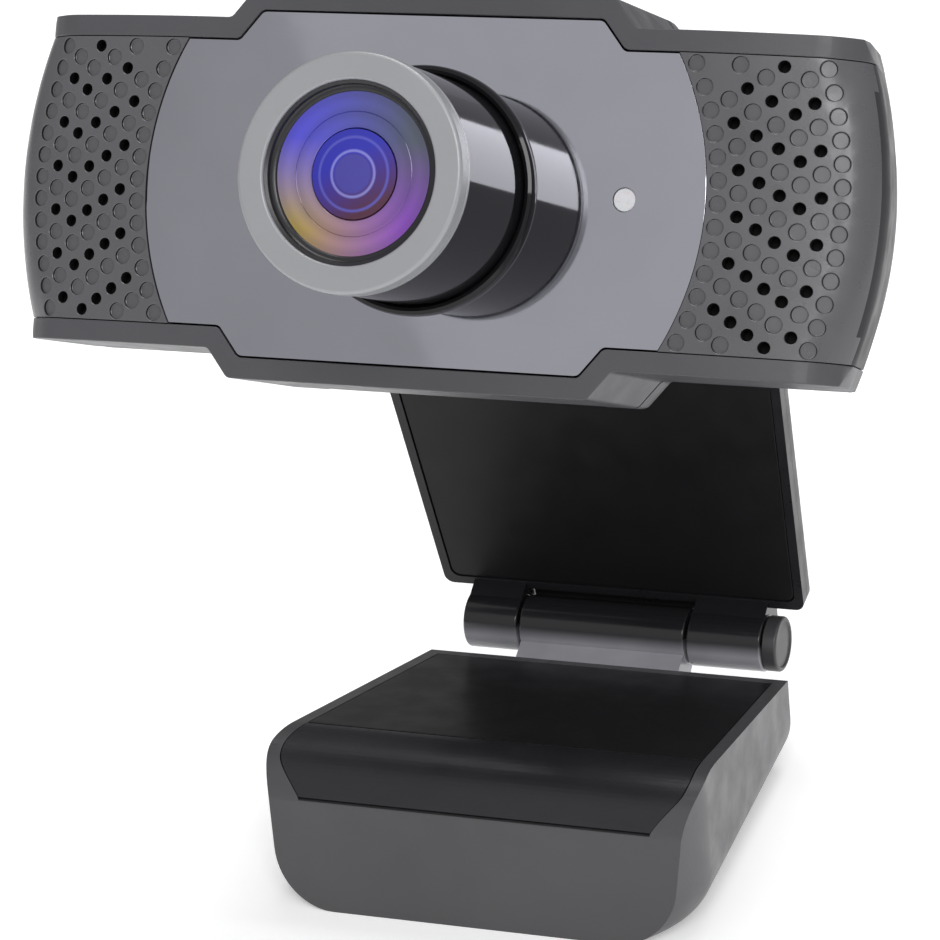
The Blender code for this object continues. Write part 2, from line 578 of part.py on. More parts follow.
def electronics(head):
    front, back = BOARD_Y, BOARD_Y + BOARD.y
    holder_low = POCKET_DEPTH + LEDGE + 1.8 * MM
    board = piece("main_board", to_mesh(box((-BOARD.x / 2, BOARD.x / 2), (front, back),
                                            (-BOARD.z / 2, BOARD.z / 2))), head, (0.02, 0.12, 0.06), 0.4)
    corner = HOLDER_SCREW
    holes = board_screw_places() + [(-corner, corner), (corner, -corner)]
    for x, z in holes:
        cut(board, to_mesh(rod(SCREW_HOLE, front - MM, back + MM, 'Y', (x, z), 12)))
    half = HOLDER_HALF
    holder = piece("lens_holder", to_mesh(box((-half, half), (holder_low, front - GAP), (-half, half))),
                   head, (0.03, 0.03, 0.03), 0.5)
    cut(holder, to_mesh(rod(CELL_REAR_RADIUS + 0.5 * MM, 0, front + MM, 'Y')))
    for x, z in holes[2:]:
        cut(holder, to_mesh(rod(SCREW_HOLE, holder_low - MM, front, 'Y', (x, z), 12)))
    piece("ir_filter", to_mesh(box((-4 * MM, 4 * MM), (5.3 * MM, 5.7 * MM), (-4 * MM, 4 * MM))),
          head, (0.3, 0.05, 0.08), 0.05)
    piece("image_sensor", to_mesh(box((-4 * MM, 4 * MM), (front - GAP - 0.9 * MM, front - GAP),
                                      (-4 * MM, 4 * MM))), head, (0.05, 0.05, 0.08), 0.2)
    piece("processor", to_mesh(box((-16 * MM, -8 * MM), (back + GAP, back + 1.3 * MM), (-4 * MM, 4 * MM))),
          head, (0.02, 0.02, 0.02), 0.4)
    piece("cord_header", to_mesh(box((12 * MM, 22 * MM), (back + GAP, back + 4 * MM), (-2.5 * MM, 2.5 * MM))),
          head, (0.7, 0.68, 0.6), 0.5)
    chip = box((LED_X - 0.8 * MM, LED_X + 0.8 * MM), (front - GAP - 0.7 * MM, front - GAP),
               (-0.6 * MM, 0.6 * MM))
    piece("status_led", to_mesh(chip), head, (0.8, 0.8, 0.7), 0.3)
    pipe = [(0, PANEL_SET), (LED_RADIUS, PANEL_SET), (LED_RADIUS, 4 * MM), (LED_RADIUS + 0.8 * MM, 4 * MM),
            (LED_RADIUS + 0.8 * MM, 4.8 * MM), (LED_RADIUS, 4.8 * MM), (LED_RADIUS, 6.6 * MM), (0, 6.6 * MM)]
    piece("light_pipe", to_mesh(turned(pipe, 'Y', (LED_X, 0), 20)), head, (0.75, 0.75, 0.75), 0.3)
    for side, label in ((-1, "left"), (1, "right")):
        place = (side * MIC_X, 0)
        piece("mic_" + label, to_mesh(rod(MIC_RADIUS, 5.2 * MM, 7.6 * MM, 'Y', place, 24)),
              head, (0.6, 0.6, 0.58), 0.35, 1.0)
        boot = ring(MIC_RADIUS + 1.3 * MM, MIC_RADIUS + GAP, 4.6 * MM, 7.4 * MM, 'Y', place, 24)
        piece("mic_boot_" + label, to_mesh(boot), head, (0.02, 0.02, 0.02), 0.8)
    for index, (x, z) in enumerate(board_screw_places(), 1):
        screw(f"board_screw_{index}", head, x, z, back + GAP, 4 * MM)
    for index, (x, z) in enumerate(holes[2:], 1):
        screw(f"holder_screw_{index}", head, x, z, back + GAP, 3.6 * MM)
    for index, (x, z) in enumerate(cover_screw_places(), 1):
        screw(f"cover_screw_{index}", head, x, z, HOUSING_DEPTH + 2 * MM + 2 * GAP, 7 * MM)
    outside = HOUSING_DEPTH + GAP + REAR_DEPTH
    inside = outside - REAR_WALL
    rim = GLAND_RADIUS + 1.2 * MM
    gland = [(rim, outside + 1.6 * MM), (rim + 0.4 * MM, outside + GAP), (GLAND_RADIUS, outside + GAP),
             (GLAND_RADIUS, inside - GAP), (rim, inside - GAP), (rim, inside - GAP - MM),
             (CORD_HOLE, inside - GAP - MM), (CORD_HOLE, outside + 1.6 * MM)]
    piece("cord_gland", to_mesh(turned(gland, 'Y', (GLAND_X, 0), 24)), head, (0.03, 0.03, 0.03), 0.7)


def swivel_screw(head):
    """Fixed in the rear cover; its head carries the neck's disc on a washer."""
    low = SWIVEL_TOP - SWIVEL_THICK
    washer = low - GAP
    seat = washer - 0.6 * MM - GAP
    top = SWIVEL_TOP + RUN + 4 * MM
    profile = [(0, top), (SWIVEL_PIN, top), (SWIVEL_PIN, seat), (3.2 * MM, seat), (3.2 * MM, seat - 0.7 * MM),
               (2.6 * MM, seat - 1.1 * MM), (0, seat - 1.1 * MM)]
    bm = turned(profile, 'Z', (0, SWIVEL_BACK), 24)
    piece("swivel_screw", to_mesh(bm), head, (0.5, 0.5, 0.52), 0.3, 1.0)
    bm = ring(3.6 * MM, SWIVEL_PIN + GAP, washer - 0.6 * MM, washer, 'Z', (0, SWIVEL_BACK), 24)
    piece("swivel_washer", to_mesh(bm), head, (0.6, 0.6, 0.6), 0.3, 1.0)


def neck(frame):
    """A disc under the head and an arm to the barrel on the tilt axis."""
    low, top = SWIVEL_TOP - SWIVEL_THICK, SWIVEL_TOP
    axis = (TILT_BACK, -TILT_DROP)
    item = piece("neck", to_mesh(rod(SWIVEL_RADIUS, low, top, 'Z', (0, SWIVEL_BACK), 32)),
                 frame, (0.05, 0.05, 0.055), 0.5)
    under, over = low + 0.2 * MM, top - 0.2 * MM
    side = [(SWIVEL_BACK, under), (SWIVEL_BACK + 10 * MM, under), (axis[0] + 1.5 * MM, axis[1] - 2.5 * MM),
            (axis[0], axis[1] + 2.5 * MM), (axis[0] - 3 * MM, axis[1]), (SWIVEL_BACK + 8.5 * MM, over),
            (SWIVEL_BACK, over)]
    join(item, to_mesh(prism([side], -ARM_HALF, ARM_HALF, SIDE_VIEW)))
    half = NOTCH_HALF - RUN
    join(item, to_mesh(rod(EAR_RADIUS, -half, half, 'X', axis, 28)))
    cut(item, to_mesh(rod(TILT_PIN_RADIUS + GAP, -half - MM, half + MM, 'X', axis, 16)))
    cut(item, to_mesh(rod(SWIVEL_PIN + RUN, low - MM, top + MM, 'Z', (0, SWIVEL_BACK), 20)))


def plate_half(up):
    share = (up - PLATE_BOTTOM) / (PLATE_TOP - PLATE_BOTTOM)
    return PLATE_HALF_BOTTOM + (PLATE_HALF_TOP - PLATE_HALF_BOTTOM) * share


def plate_outline(inset, low, high, corner, notch):
    """The plate from the front, with rounded corners and a gap for the neck."""
    right = arc((plate_half(high) - inset - corner, high - corner), corner, math.pi / 2, 0.0, 5)
    right = right + arc((plate_half(low) - inset - 1.2 * MM, low + 1.2 * MM), 1.2 * MM, 0.0, -math.pi / 2, 3)
    right = [(notch, high - NOTCH_DEPTH), (notch, high)] + right if notch else right
    return right + [(-x, z) for x, z in right[::-1]]


def clip_plate(frame):
    front, back = PLATE_FACE, PLATE_FACE + PLATE_THICK
    bm = prism([plate_outline(0.0, PLATE_BOTTOM, PLATE_TOP, 4 * MM, NOTCH_HALF)], front, back, FRONT_VIEW)
    item = piece("clip_plate", to_mesh(bm), frame, (0.05, 0.05, 0.055), 0.4)
    tangent = KNUCKLE_RADIUS * 0.98
    web = [(0.0, -tangent), (back - MM, 0.0), (back, PLATE_BOTTOM + MM),
           (front + 0.4 * MM, PLATE_BOTTOM + MM), (0.0, tangent)]
    for low, high in ((KNUCKLES[0], KNUCKLES[1] - RUN / 2), (KNUCKLES[2] + RUN / 2, KNUCKLES[3])):
        join(item, to_mesh(rod(KNUCKLE_RADIUS, low, high, 'X', (0, 0), 36)))
        join(item, to_mesh(prism([web], low, high, SIDE_VIEW)))
        cut(item, to_mesh(rod(PIN_RADIUS + GAP, low - MM, high + MM, 'X', (0, 0), 20)))
    axis = (TILT_V, TILT_UP)
    for side in (-1, 1):
        ends = sorted((side * NOTCH_HALF, side * (NOTCH_HALF + EAR_LENGTH)))
        join(item, to_mesh(rod(EAR_RADIUS, *ends, 'X', axis, 28)))
        stem = (front + 0.2 * MM, back - 0.2 * MM)
        join(item, to_mesh(box(ends, stem, (PLATE_TOP - 3 * MM, TILT_UP - 0.5 * MM))))
        cut(item, to_mesh(rod(TILT_PIN_RADIUS + GAP, ends[0] - MM, ends[1] + MM, 'X', axis, 16)))
    inset = PLATE_RIM
    pad_low, pad_high = PLATE_BOTTOM + PLATE_RIM, PLATE_TOP - NOTCH_DEPTH - 1.5 * MM
    outline = plate_outline(inset, pad_low, pad_high, 2 * MM, 0)
    cut(item, to_mesh(prism([outline], front - MM, front + PAD_THICK + GAP, FRONT_VIEW)))
    outline = plate_outline(inset + GAP, pad_low + GAP, pad_high - GAP, 2 * MM, 0)
    bm = prism([outline], front, front + PAD_THICK, FRONT_VIEW)
    piece("plate_pad", to_mesh(bm), frame, (0.01, 0.01, 0.01), 0.7)
    pin = rod(PIN_RADIUS, KNUCKLES[0] + 0.6 * MM, KNUCKLES[3] - 0.2 * MM, 'X', (0, 0), 20)
    piece("hinge_pin", to_mesh(pin), frame, (0.5, 0.5, 0.52), 0.3, 1.0)
    low = KNUCKLES[3] + GAP
    cap = [(0, low), (CAP_RADIUS, low), (CAP_RADIUS, low + CAP_LENGTH - 0.5 * MM),
           (CAP_RADIUS - 0.5 * MM, low + CAP_LENGTH), (0, low + CAP_LENGTH)]
    piece("hinge_cap", to_mesh(turned(cap, 'X', (0, 0), 32)), frame, (0.06, 0.06, 0.065), 0.35)
    half = NOTCH_HALF + EAR_LENGTH - 0.3 * MM
    pin = rod(TILT_PIN_RADIUS, -half, half, 'X', axis, 16)
    piece("tilt_pin", to_mesh(pin), frame, (0.5, 0.5, 0.52), 0.3, 1.0)


def foot_half(y):
    """Half the foot's width; y is measured back from its front."""
    share = (REAR_Y - y) / REAR_Y
    half = FOOT_HALF_REAR + (FOOT_HALF_FRONT - FOOT_HALF_REAR) * share
    return half - FRONT_NARROW * (max(NARROW_FROM - y, 0.0) / NARROW_FROM) ** 2


def top_slope():
    return (CREASE_Z - REAR_Z) / (REAR_Y - CREASE_Y)


def roll_off(steps):
    """From the crease over the rounded front to the lip, as (y, z) points."""
    bend = (LIP_Y + 1.8 * MM, CREASE_Z + (CREASE_Y - LIP_Y - 1.8 * MM) * top_slope())
    points = []
    for i in range(steps + 1):
        t = i / steps
        parts = ((1 - t) ** 2, 2 * t * (1 - t), t ** 2)
        ends = ((CREASE_Y, CREASE_Z), bend, (LIP_Y, LIP_Z))
        points.append(tuple(sum(p * e[k] for p, e in zip(parts, ends)) for k in (0, 1)))
    return points


def deeper(points, depth):
    """The same line moved down into the foot by depth."""
    moved = []
    for i, (y, z) in enumerate(points):
        before = points[max(i - 1, 0)]
        after = points[min(i + 1, len(points) - 1)]
        dy, dz = after[0] - before[0], after[1] - before[1]
        length = math.hypot(dy, dz)
        moved.append((y - dz / length * depth, z + dy / length * depth))
    return moved


def across_foot(loop, inset, lip=0.0):
    """A side outline drawn across the foot, narrower again by lip at the front edge."""
    bm = prism([loop], -FOOT_HALF_REAR, FOOT_HALF_REAR, SIDE_VIEW)
    slice_across(bm, (0, 1, 0), FOOT_STATIONS)
    for vert in bm.verts:
        near = min(max(LIP_Y + LIP_RUN - vert.co.y, 0.0) / LIP_RUN, 1.0)
        vert.co.x = math.copysign(foot_half(vert.co.y) - inset - lip * near ** 2, vert.co.x)
        vert.co.y += FOOT_FRONT
    return bm


def round_low_edges(bm, level, radius):
    """Round the two edges that run from front to back below a level."""
    bmesh.ops.recalc_face_normals(bm, faces=bm.faces)
    edges = []
    for edge in bm.edges:
        ends = [vert.co for vert in edge.verts]
        if max(end.z for end in ends) < level and ends[0].x * ends[1].x > 0:
            edges.append(edge)
    bmesh.ops.bevel(bm, geom=edges, offset=radius, segments=5, affect='EDGES', profile=0.5)


def trough():
    """A bar as long and as wide as the foot, with its lower edges rounded."""
    half = FOOT_HALF_REAR
    corner = arc((half - FOOT_ROUND, FOOT_ROUND), FOOT_ROUND, 0.0, -math.pi / 2, 6)
    right = [(half, CREASE_Z + 4 * MM)] + corner
    outline = right + [(-x, z) for x, z in right[::-1]]
    bm = prism([outline], -2 * MM, FOOT_LENGTH + 2 * MM, FRONT_VIEW)
    slice_across(bm, (0, 1, 0), FOOT_STATIONS)
    for vert in bm.verts:
        inwards = half - abs(vert.co.x)
        vert.co.x = math.copysign(foot_half(vert.co.y) - inwards, vert.co.x)
        vert.co.y += FOOT_FRONT
    return bm


def around_foot(top):
    """What lies in front of, above and behind the foot's side outline."""
    reach = 40 * MM
    low = -5 * MM
    rear = FOOT_LENGTH - (FOOT_LENGTH - REAR_Y) * low / REAR_Z
    front = LIP_Y * low / LIP_Z
    loop = [(rear, low)] + top + [(front, low), (-reach, low), (-reach, reach),
                                  (FOOT_LENGTH + reach, reach), (FOOT_LENGTH + reach, low)]
    bm = prism([loop], -reach, reach, SIDE_VIEW)
    bmesh.ops.translate(bm, verts=bm.verts, vec=(0, FOOT_FRONT, 0))
    return bm


def foot(frame):
    roll = roll_off(8)
    top = [(REAR_Y, REAR_Z)] + roll
    item = piece("foot_housing", to_mesh(trough()), frame, (0.05, 0.05, 0.052), 0.5)
    cut(item, to_mesh(around_foot(top)))
    deep = deeper(top, FOOT_PAD + GAP)
    inner = [(REAR_Y - FOOT_WALL, REAR_Z + 3 * MM)] + [(REAR_Y - FOOT_WALL, deep[0][1])] + deep[1:-2]
    lip = [(LIP_Y + FOOT_WALL, deep[-3][1] - 0.8 * MM), (LIP_Y + FOOT_WALL, LIP_Z + 0.6 * MM),
           (LIP_Y - 3 * MM, LIP_Z + 0.6 * MM), (LIP_Y - 3 * MM, CREASE_Z + 5 * MM)]
    cut(item, to_mesh(across_foot(inner + lip, FOOT_WALL, LIP_NARROW)))
    floor = 2.0 * MM
    shelf = 1.6 * MM
    rear, front = REAR_Y - FOOT_WALL - shelf, LIP_Y + FOOT_WALL + 1.2 * MM
    room = [(rear, floor), (rear, REAR_Z + MM), (CREASE_Y, CREASE_Z + MM),
            (CREASE_Y - 5 * MM, CREASE_Z - 1.5 * MM), (front + MM, LIP_Z + 0.5 * MM), (front, floor)]
    bm = across_foot(room, FOOT_WALL + shelf, LIP_NARROW)
    round_low_edges(bm, floor + WELD, FOOT_ROUND - FOOT_WALL - shelf)
    cut(item, to_mesh(bm))
    boss = INSERT_RADIUS + GAP + 1.8 * MM
    join(item, to_mesh(rod(boss, 0.5 * MM, INSERT_LENGTH + 1.5 * MM, 'Z', (0, INSERT_Y), 32)))
    cut(item, to_mesh(rod(INSERT_RADIUS + GAP, -MM, INSERT_LENGTH + 0.6 * MM, 'Z', (0, INSERT_Y), 28)))
    axis = (HINGE_Y, HINGE_Z)
    rear = FOOT_FRONT + REAR_Y - 0.8 * MM
    web = [(rear, REAR_Z - 6.5 * MM), (HINGE_Y, HINGE_Z - KNUCKLE_RADIUS * 0.98), (HINGE_Y + MM, HINGE_Z),
           (HINGE_Y, HINGE_Z + MM), (rear, REAR_Z - 0.5 * MM)]
    low, high = KNUCKLES[1] + RUN / 2, KNUCKLES[2] - RUN / 2
    join(item, to_mesh(rod(KNUCKLE_RADIUS, low, high, 'X', axis, 36)))
    join(item, to_mesh(prism([web], low, high, SIDE_VIEW)))
    cut(item, to_mesh(rod(PIN_RADIUS + GAP, low - MM, high + MM, 'X', axis, 20)))
    foot_pads(frame, roll)
    insert = ring(INSERT_RADIUS, INSERT_HOLE, 0.3 * MM, INSERT_LENGTH, 'Z', (0, INSERT_Y), 28)
    piece("tripod_insert", to_mesh(insert), frame, (0.6, 0.45, 0.2), 0.3, 1.0)


def foot_pads(frame, roll):
    """The flat pad and the rolled one in front of it, split at the crease."""
    side = FOOT_WALL + GAP
    flat = [(REAR_Y - side, REAR_Z + side * top_slope()), (CREASE_Y + GAP, CREASE_Z - GAP * top_slope())]
    under = deeper(flat, FOOT_PAD)
    piece("foot_pad_rear", to_mesh(across_foot(flat + under[::-1], side)), frame, (0.015, 0.015, 0.016), 0.45)
    front = [p for p in roll if p[1] > LIP_Z + 2.0 * MM]
    under = deeper(front, FOOT_PAD)
    bm = across_foot(front + under[::-1], side, LIP_NARROW)
    piece("foot_pad_front", to_mesh(bm), frame, (0.02, 0.02, 0.022), 0.55)


def build():
    root = empty("foot_frame", (0, 0, 0))
    clip = empty("clip_axis", (0, HINGE_Y, HINGE_Z), LEAN, root)
    tilt_at = clip.matrix_world @ Vector((0, TILT_V, TILT_UP))
    tilt = empty("tilt_axis", tilt_at, -HEAD_PITCH, clip)
    turn = tilt.matrix_world @ Vector((0, SWIVEL_BACK - TILT_BACK, TILT_DROP))
    swivel = empty("swivel_axis", turn, -HEAD_PITCH, tilt)
    lens_at = tilt.matrix_world @ Vector((0, -TILT_BACK, TILT_DROP))
    focus = empty("focus_axis", lens_at, -HEAD_PITCH, swivel)
    slide = empty("cell_axis", lens_at, -HEAD_PITCH, swivel)
    head = Frame(swivel, (0, -SWIVEL_BACK, 0))
    front_housing(head)
    front_panel(head)
    grille("grille_left", head, -1)
    grille("grille_right", head, 1)
    rear_cover(head)
    lens(head, Frame(focus), Frame(slide))
    electronics(head)
    swivel_screw(head)
    neck(Frame(tilt, (0, -TILT_BACK, TILT_DROP)))
    clip_plate(Frame(clip))
    foot(Frame(root))


build()
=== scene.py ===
"""Looks of a desk webcam on a folding clip stand: fine meshes, finishes, light and camera."""

import json
import math

import bmesh
import bpy
from bpy.props import FloatProperty, FloatVectorProperty, IntProperty, PointerProperty
from mathutils import Matrix, Vector


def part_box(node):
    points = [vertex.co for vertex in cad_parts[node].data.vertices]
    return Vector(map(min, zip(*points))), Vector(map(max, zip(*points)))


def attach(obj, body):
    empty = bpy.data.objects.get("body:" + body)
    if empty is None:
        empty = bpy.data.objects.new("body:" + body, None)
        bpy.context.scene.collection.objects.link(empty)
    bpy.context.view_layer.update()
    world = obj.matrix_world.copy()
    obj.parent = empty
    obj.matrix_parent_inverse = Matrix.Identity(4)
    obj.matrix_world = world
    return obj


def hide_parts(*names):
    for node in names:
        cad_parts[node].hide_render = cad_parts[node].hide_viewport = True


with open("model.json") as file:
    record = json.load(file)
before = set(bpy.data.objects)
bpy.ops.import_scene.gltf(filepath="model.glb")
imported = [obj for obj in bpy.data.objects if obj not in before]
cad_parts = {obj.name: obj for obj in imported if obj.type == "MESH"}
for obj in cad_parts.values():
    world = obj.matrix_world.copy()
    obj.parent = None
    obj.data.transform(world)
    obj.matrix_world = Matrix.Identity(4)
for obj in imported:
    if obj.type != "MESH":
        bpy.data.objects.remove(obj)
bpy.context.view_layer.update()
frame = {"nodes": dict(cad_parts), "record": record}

bl_info = {
    "name": "Clip Webcam",
    "version": (1, 0, 0),
    "blender": (4, 5, 0),
    "location": "3D View > Sidebar > Webcam",
    "description": "Builds a webcam on a folding clip stand around its working model",
    "category": "Add Mesh",
}

RECORD = frame["record"]
JOINTS = {joint["name"]: joint for joint in RECORD["behaviour"]["joints"]}
MOUNTS = {mount["name"]: mount for mount in RECORD["mounts"]}
MM = 0.001
QUARTER = math.pi / 2

# Places and sizes in millimetres, from the lens axis and the head's front.
SKIN = 1.4
COLUMNS = 7
PANEL_BACK = 1.5
CORE_WALL = (2.4, 3.1)
CORE_HOLE = 12.7
CHEEK = (6.0, 7.5)      # inwards from the head's ends
SCREW_PLACES = [(x, z) for x in (-40, 40) for z in (-13, 13)]
SCREW_HEAD = (1.6, 1.0)
SCREW_SEAT = 2.6        # behind the housing
SCREW_RECESS = 1.9
OUTLET_X = -20
OUTLET_RECESS = 3.1
REAR_TAPER = 0.22
REAR_ROUND = 1.2
RECESS_HALF = 17        # the space for the neck

# From the clip hinge's axis.
KNUCKLES = ((-19.6, -12.5), (9.8, 19.2))
FOOT_KNUCKLE = (-12.1, 9.4)
CAP_ENDS = (19.5, 21.2)
CAP_RADIUS = 3.4
EARS = (8.9, 13.85)
EAR_RADIUS = 3.4
NOTCH_HALF = 8.85
NOTCH_DEPTH = 9.0
PAD_BELOW_TOP = 10.5

# The foot seen from the side, as (distance from its front, height).
HEEL = (47.3, 11.65)
CREASE = (12.8, 17.6)
LIP = (2.2, 12.6)
PAD_SLOPE = (CREASE[1] - HEEL[1]) / (HEEL[0] - CREASE[0])
NARROW_FROM = 8.0
LIP_FROM, LIP_RUN = 5.6, 3.4
FOOT_SLICES = [0.4 * i for i in range(15)] + [6.2, 6.8, 7.4, NARROW_FROM, 10.4, CREASE[0]]


# ------------------------------------------------------------------- frames
def upright(origin, back):
    """A frame in millimetres whose X is the object's own and whose Y points back."""
    y_axis = Vector(back).normalized()
    x_axis = Vector((1.0, 0.0, 0.0))
    z_axis = x_axis.cross(y_axis)
    turn = Matrix((x_axis, y_axis, z_axis)).transposed().to_4x4()
    return Matrix.Translation(Vector(origin)) @ turn @ Matrix.Scale(MM, 4)


HEAD = upright(JOINTS["focus_turn"]["pos_m"], -Vector(JOINTS["focus_turn"]["axis"]))
CLIP = upright(JOINTS["clip_hinge"]["pos_m"], -Vector(MOUNTS["plate_pad_face"]["axis"]))
FOOT = upright((0.0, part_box("foot_housing")[0].y, 0.0), (0.0, 1.0, 0.0))
TILT_AT = HEAD.inverted() @ Vector(JOINTS["head_tilt"]["pos_m"])
SWIVEL_AT = HEAD.inverted() @ Vector(JOINTS["head_swivel"]["pos_m"])
PLATE_TILT = CLIP.inverted() @ Vector(JOINTS["head_tilt"]["pos_m"])
HINGE_IN_FOOT = FOOT.inverted() @ Vector(JOINTS["clip_hinge"]["pos_m"])


# ---------------------------------------------------------------- properties
def size(name, description, default):
    return FloatProperty(name=name, description=description + ", in millimetres", default=default, min=0.0)


def shade(name, description, default):
    return FloatVectorProperty(name=name, description=description, default=default, size=3,
                               subtype='COLOR', min=0.0, max=1.0)


class HeadSizes(bpy.types.PropertyGroup):
    end_radius: size("End radius", "Radius of the head's two ends round the lens axis", 50.5)
    panel_radius: size("Panel radius", "Radius of the arc between panel and grille", 32.4)
    hump_half: size("Hump half width", "Half the width of the raised middle", 19.8)
    hump_height: size("Hump height", "Half the height of the raised middle", 19.0)
    step_half: size("Step half width", "Where the slanted step meets the wing", 22.4)
    wing_height: size("Wing height", "Half the height of the wings", 15.8)
    band: size("Band width", "Width of the band round the front", 2.3)
    depth: size("Housing depth", "Depth of the front housing", 16.4)
    flat_half: size("Flat half width", "Half the width that stays flat", 26.0)
    sweep: size("Wing sweep", "Radius by which the wings sweep back", 85.0)
    sweep_end: size("Sweep end", "Where the sweep stops", 46.0)
    end_round: size("End rounding", "Rounding of the ends seen from above", 5.0)
    end_taper: size("End taper", "How much the ends draw in towards the rear", 2.1)
    rear_depth: size("Rear depth", "Depth of the rear cover", 10.3)
    led_x: size("Light position", "Status light, to the right of the lens axis", 23.5)
    led_radius: size("Light radius", "Radius of the status light's window", 1.25)


class GrilleSizes(bpy.types.PropertyGroup):
    first: size("First column", "Radius of the first column of the pattern", 33.7)
    column: size("Column step", "Distance from column to column", 2.15)
    pitch: size("Row step", "Distance from row to row", 2.44)
    hole_radius: size("Hole radius", "Radius of a hole that goes through", 0.68)
    dimple_radius: size("Dimple radius", "Radius of a blind dimple", 0.92)
    dimple_depth: size("Dimple depth", "Depth of a blind dimple", 0.38)
    rows: IntProperty(name="Rows", description="Places in a full column", default=13, min=1)


class LensSizes(bpy.types.PropertyGroup):
    barrel_radius: size("Barrel radius", "Outer radius of the fixed barrel", 12.4)
    barrel_length: size("Barrel length", "How far the barrel stands out", 16.0)
    ring_radius: size("Ring radius", "Outer radius of the focus ring", 12.6)
    ring_length: size("Ring length", "Length of the focus ring", 2.6)
    opening: size("Opening", "Radius of the opening in the focus ring", 9.65)
    disc: size("Inner disc", "Radius of the blue inner disc", 4.8)


class StandSizes(bpy.types.PropertyGroup):
    knuckle: size("Knuckle radius", "Radius of the hinge barrel", 3.55)
    plate_thick: size("Plate thickness", "Thickness of the upper plate", 3.2)
    plate_face: size("Plate face", "The plate's front, behind the hinge axis", 2.55)
    plate_bottom: size("Plate bottom", "Lower edge above the hinge axis", 3.4)
    plate_top: size("Plate top", "Upper edge above the hinge axis", 50.0)
    half_bottom: size("Half width below", "Half the plate's width at its lower edge", 23.6)
    half_top: size("Half width above", "Half the plate's width at its upper edge", 25.7)
    rim: size("Rim", "Width of the rim round the pad", 1.1)
    foot_length: size("Foot length", "Length of the foot", 47.6)
    foot_rear: size("Foot half width, rear", "Half the foot's width at the hinge", 23.3)
    foot_front: size("Foot half width, front", "Half the foot's width towards the front", 27.2)
    foot_narrow: size("Foot narrowing", "How much each side draws in at the front", 3.4)
    lip_narrow: size("Lip narrowing", "How much the front pad draws in towards the lip", 2.4)
    foot_round: size("Foot rounding", "Rounding of the foot's lower edges", 6.5)
    foot_wall: size("Foot wall", "Width of the rim round the foot's pads", 1.6)


class Finishes(bpy.types.PropertyGroup):
    housing: shade("Housing", "Dark satin plastic of the bands", (0.066, 0.066, 0.072))
    wings: shade("Wings", "Satin plastic of the grilles", (0.085, 0.085, 0.091))
    mirror: shade("Mirror", "Reflecting colour of the front panel", (0.37, 0.37, 0.41))
    gloss: shade("Gloss black", "Polished black of the lens barrel", (0.006, 0.006, 0.007))
    ring: shade("Ring", "Satin light grey of the focus ring", (0.32, 0.325, 0.335))
    stand: shade("Stand", "Semi-gloss black of the clip", (0.016, 0.016, 0.018))
    foot: shade("Foot", "Satin plastic of the foot", (0.055, 0.053, 0.056))
    pad: shade("Pad", "Soft black of the inset pads", (0.010, 0.010, 0.011))
    steel: shade("Steel", "Zinc-plated screws and pins", (0.55, 0.55, 0.57))
    rubber: shade("Rubber", "Rubber of the cord's outlet", (0.014, 0.014, 0.015))


class WebcamSettings(bpy.types.PropertyGroup):
    head: PointerProperty(name="Head", type=HeadSizes)
    grille: PointerProperty(name="Grille", type=GrilleSizes)
    lens: PointerProperty(name="Lens", type=LensSizes)
    stand: PointerProperty(name="Stand", type=StandSizes)
    finish: PointerProperty(name="Finishes", type=Finishes)


def settings():
    return bpy.context.scene.webcam


# ------------------------------------------------------------- node materials
class Nodes:
    """A short way to build a node tree: each call adds a node and returns an output."""

    def __init__(self, name):
        self.material = bpy.data.materials.new(name)
        self.material.use_nodes = True
        self.tree = self.material.node_tree
        self.shader = self.tree.nodes["Principled BSDF"]
        self.place = self.add("ShaderNodeTexCoord").outputs["Object"]

    def add(self, kind, **options):
        node = self.tree.nodes.new(kind)
        for option, value in options.items():
            setattr(node, option, value)
        return node

    def feed(self, socket, value):
        if isinstance(value, bpy.types.NodeSocket):
            self.tree.links.new(value, socket)
        else:
            socket.default_value = value

    def mapped(self, scale, turn=(0, 0, 0)):
        node = self.add("ShaderNodeMapping")
        self.feed(node.inputs["Vector"], self.place)
        node.inputs["Scale"].default_value = scale
        node.inputs["Rotation"].default_value = turn
        return node.outputs["Vector"]

    def noise(self, scale, detail=3.0, vector=None):
        node = self.add("ShaderNodeTexNoise")
        self.feed(node.inputs["Vector"], vector or self.place)
        node.inputs["Scale"].default_value = scale
        node.inputs["Detail"].default_value = detail
        return node.outputs["Fac"]

    def span(self, value, low, high, start=0.3, end=0.7):
        node = self.add("ShaderNodeMapRange", clamp=True)
        self.feed(node.inputs["Value"], value)
        for name, number in (("From Min", start), ("From Max", end), ("To Min", low), ("To Max", high)):
            node.inputs[name].default_value = number
        return node.outputs["Result"]

    def math(self, operation, a, b=0.0):
        node = self.add("ShaderNodeMath", operation=operation)
        self.feed(node.inputs[0], a)
        self.feed(node.inputs[1], b)
        return node.outputs[0]

    def mix(self, share, a, b):
        node = self.add("ShaderNodeMix", data_type='RGBA')
        self.feed(node.inputs["Factor"], share)
        for socket, value in ((node.inputs[6], a), (node.inputs[7], b)):
            self.feed(socket, value if isinstance(value, bpy.types.NodeSocket) else (*value, 1.0))
        return node.outputs[2]

    def bump(self, height, distance):
        node = self.add("ShaderNodeBump")
        self.feed(node.inputs["Height"], height)
        node.inputs["Distance"].default_value = distance
        node.inputs["Strength"].default_value = 1.0
        return node.outputs["Normal"]

    def set(self, **values):
        for name, value in values.items():
            self.feed(self.shader.inputs[name.replace("_", " ")], value)


def scaled(colour, factor):
    return tuple(min(channel * factor, 1.0) for channel in colour)


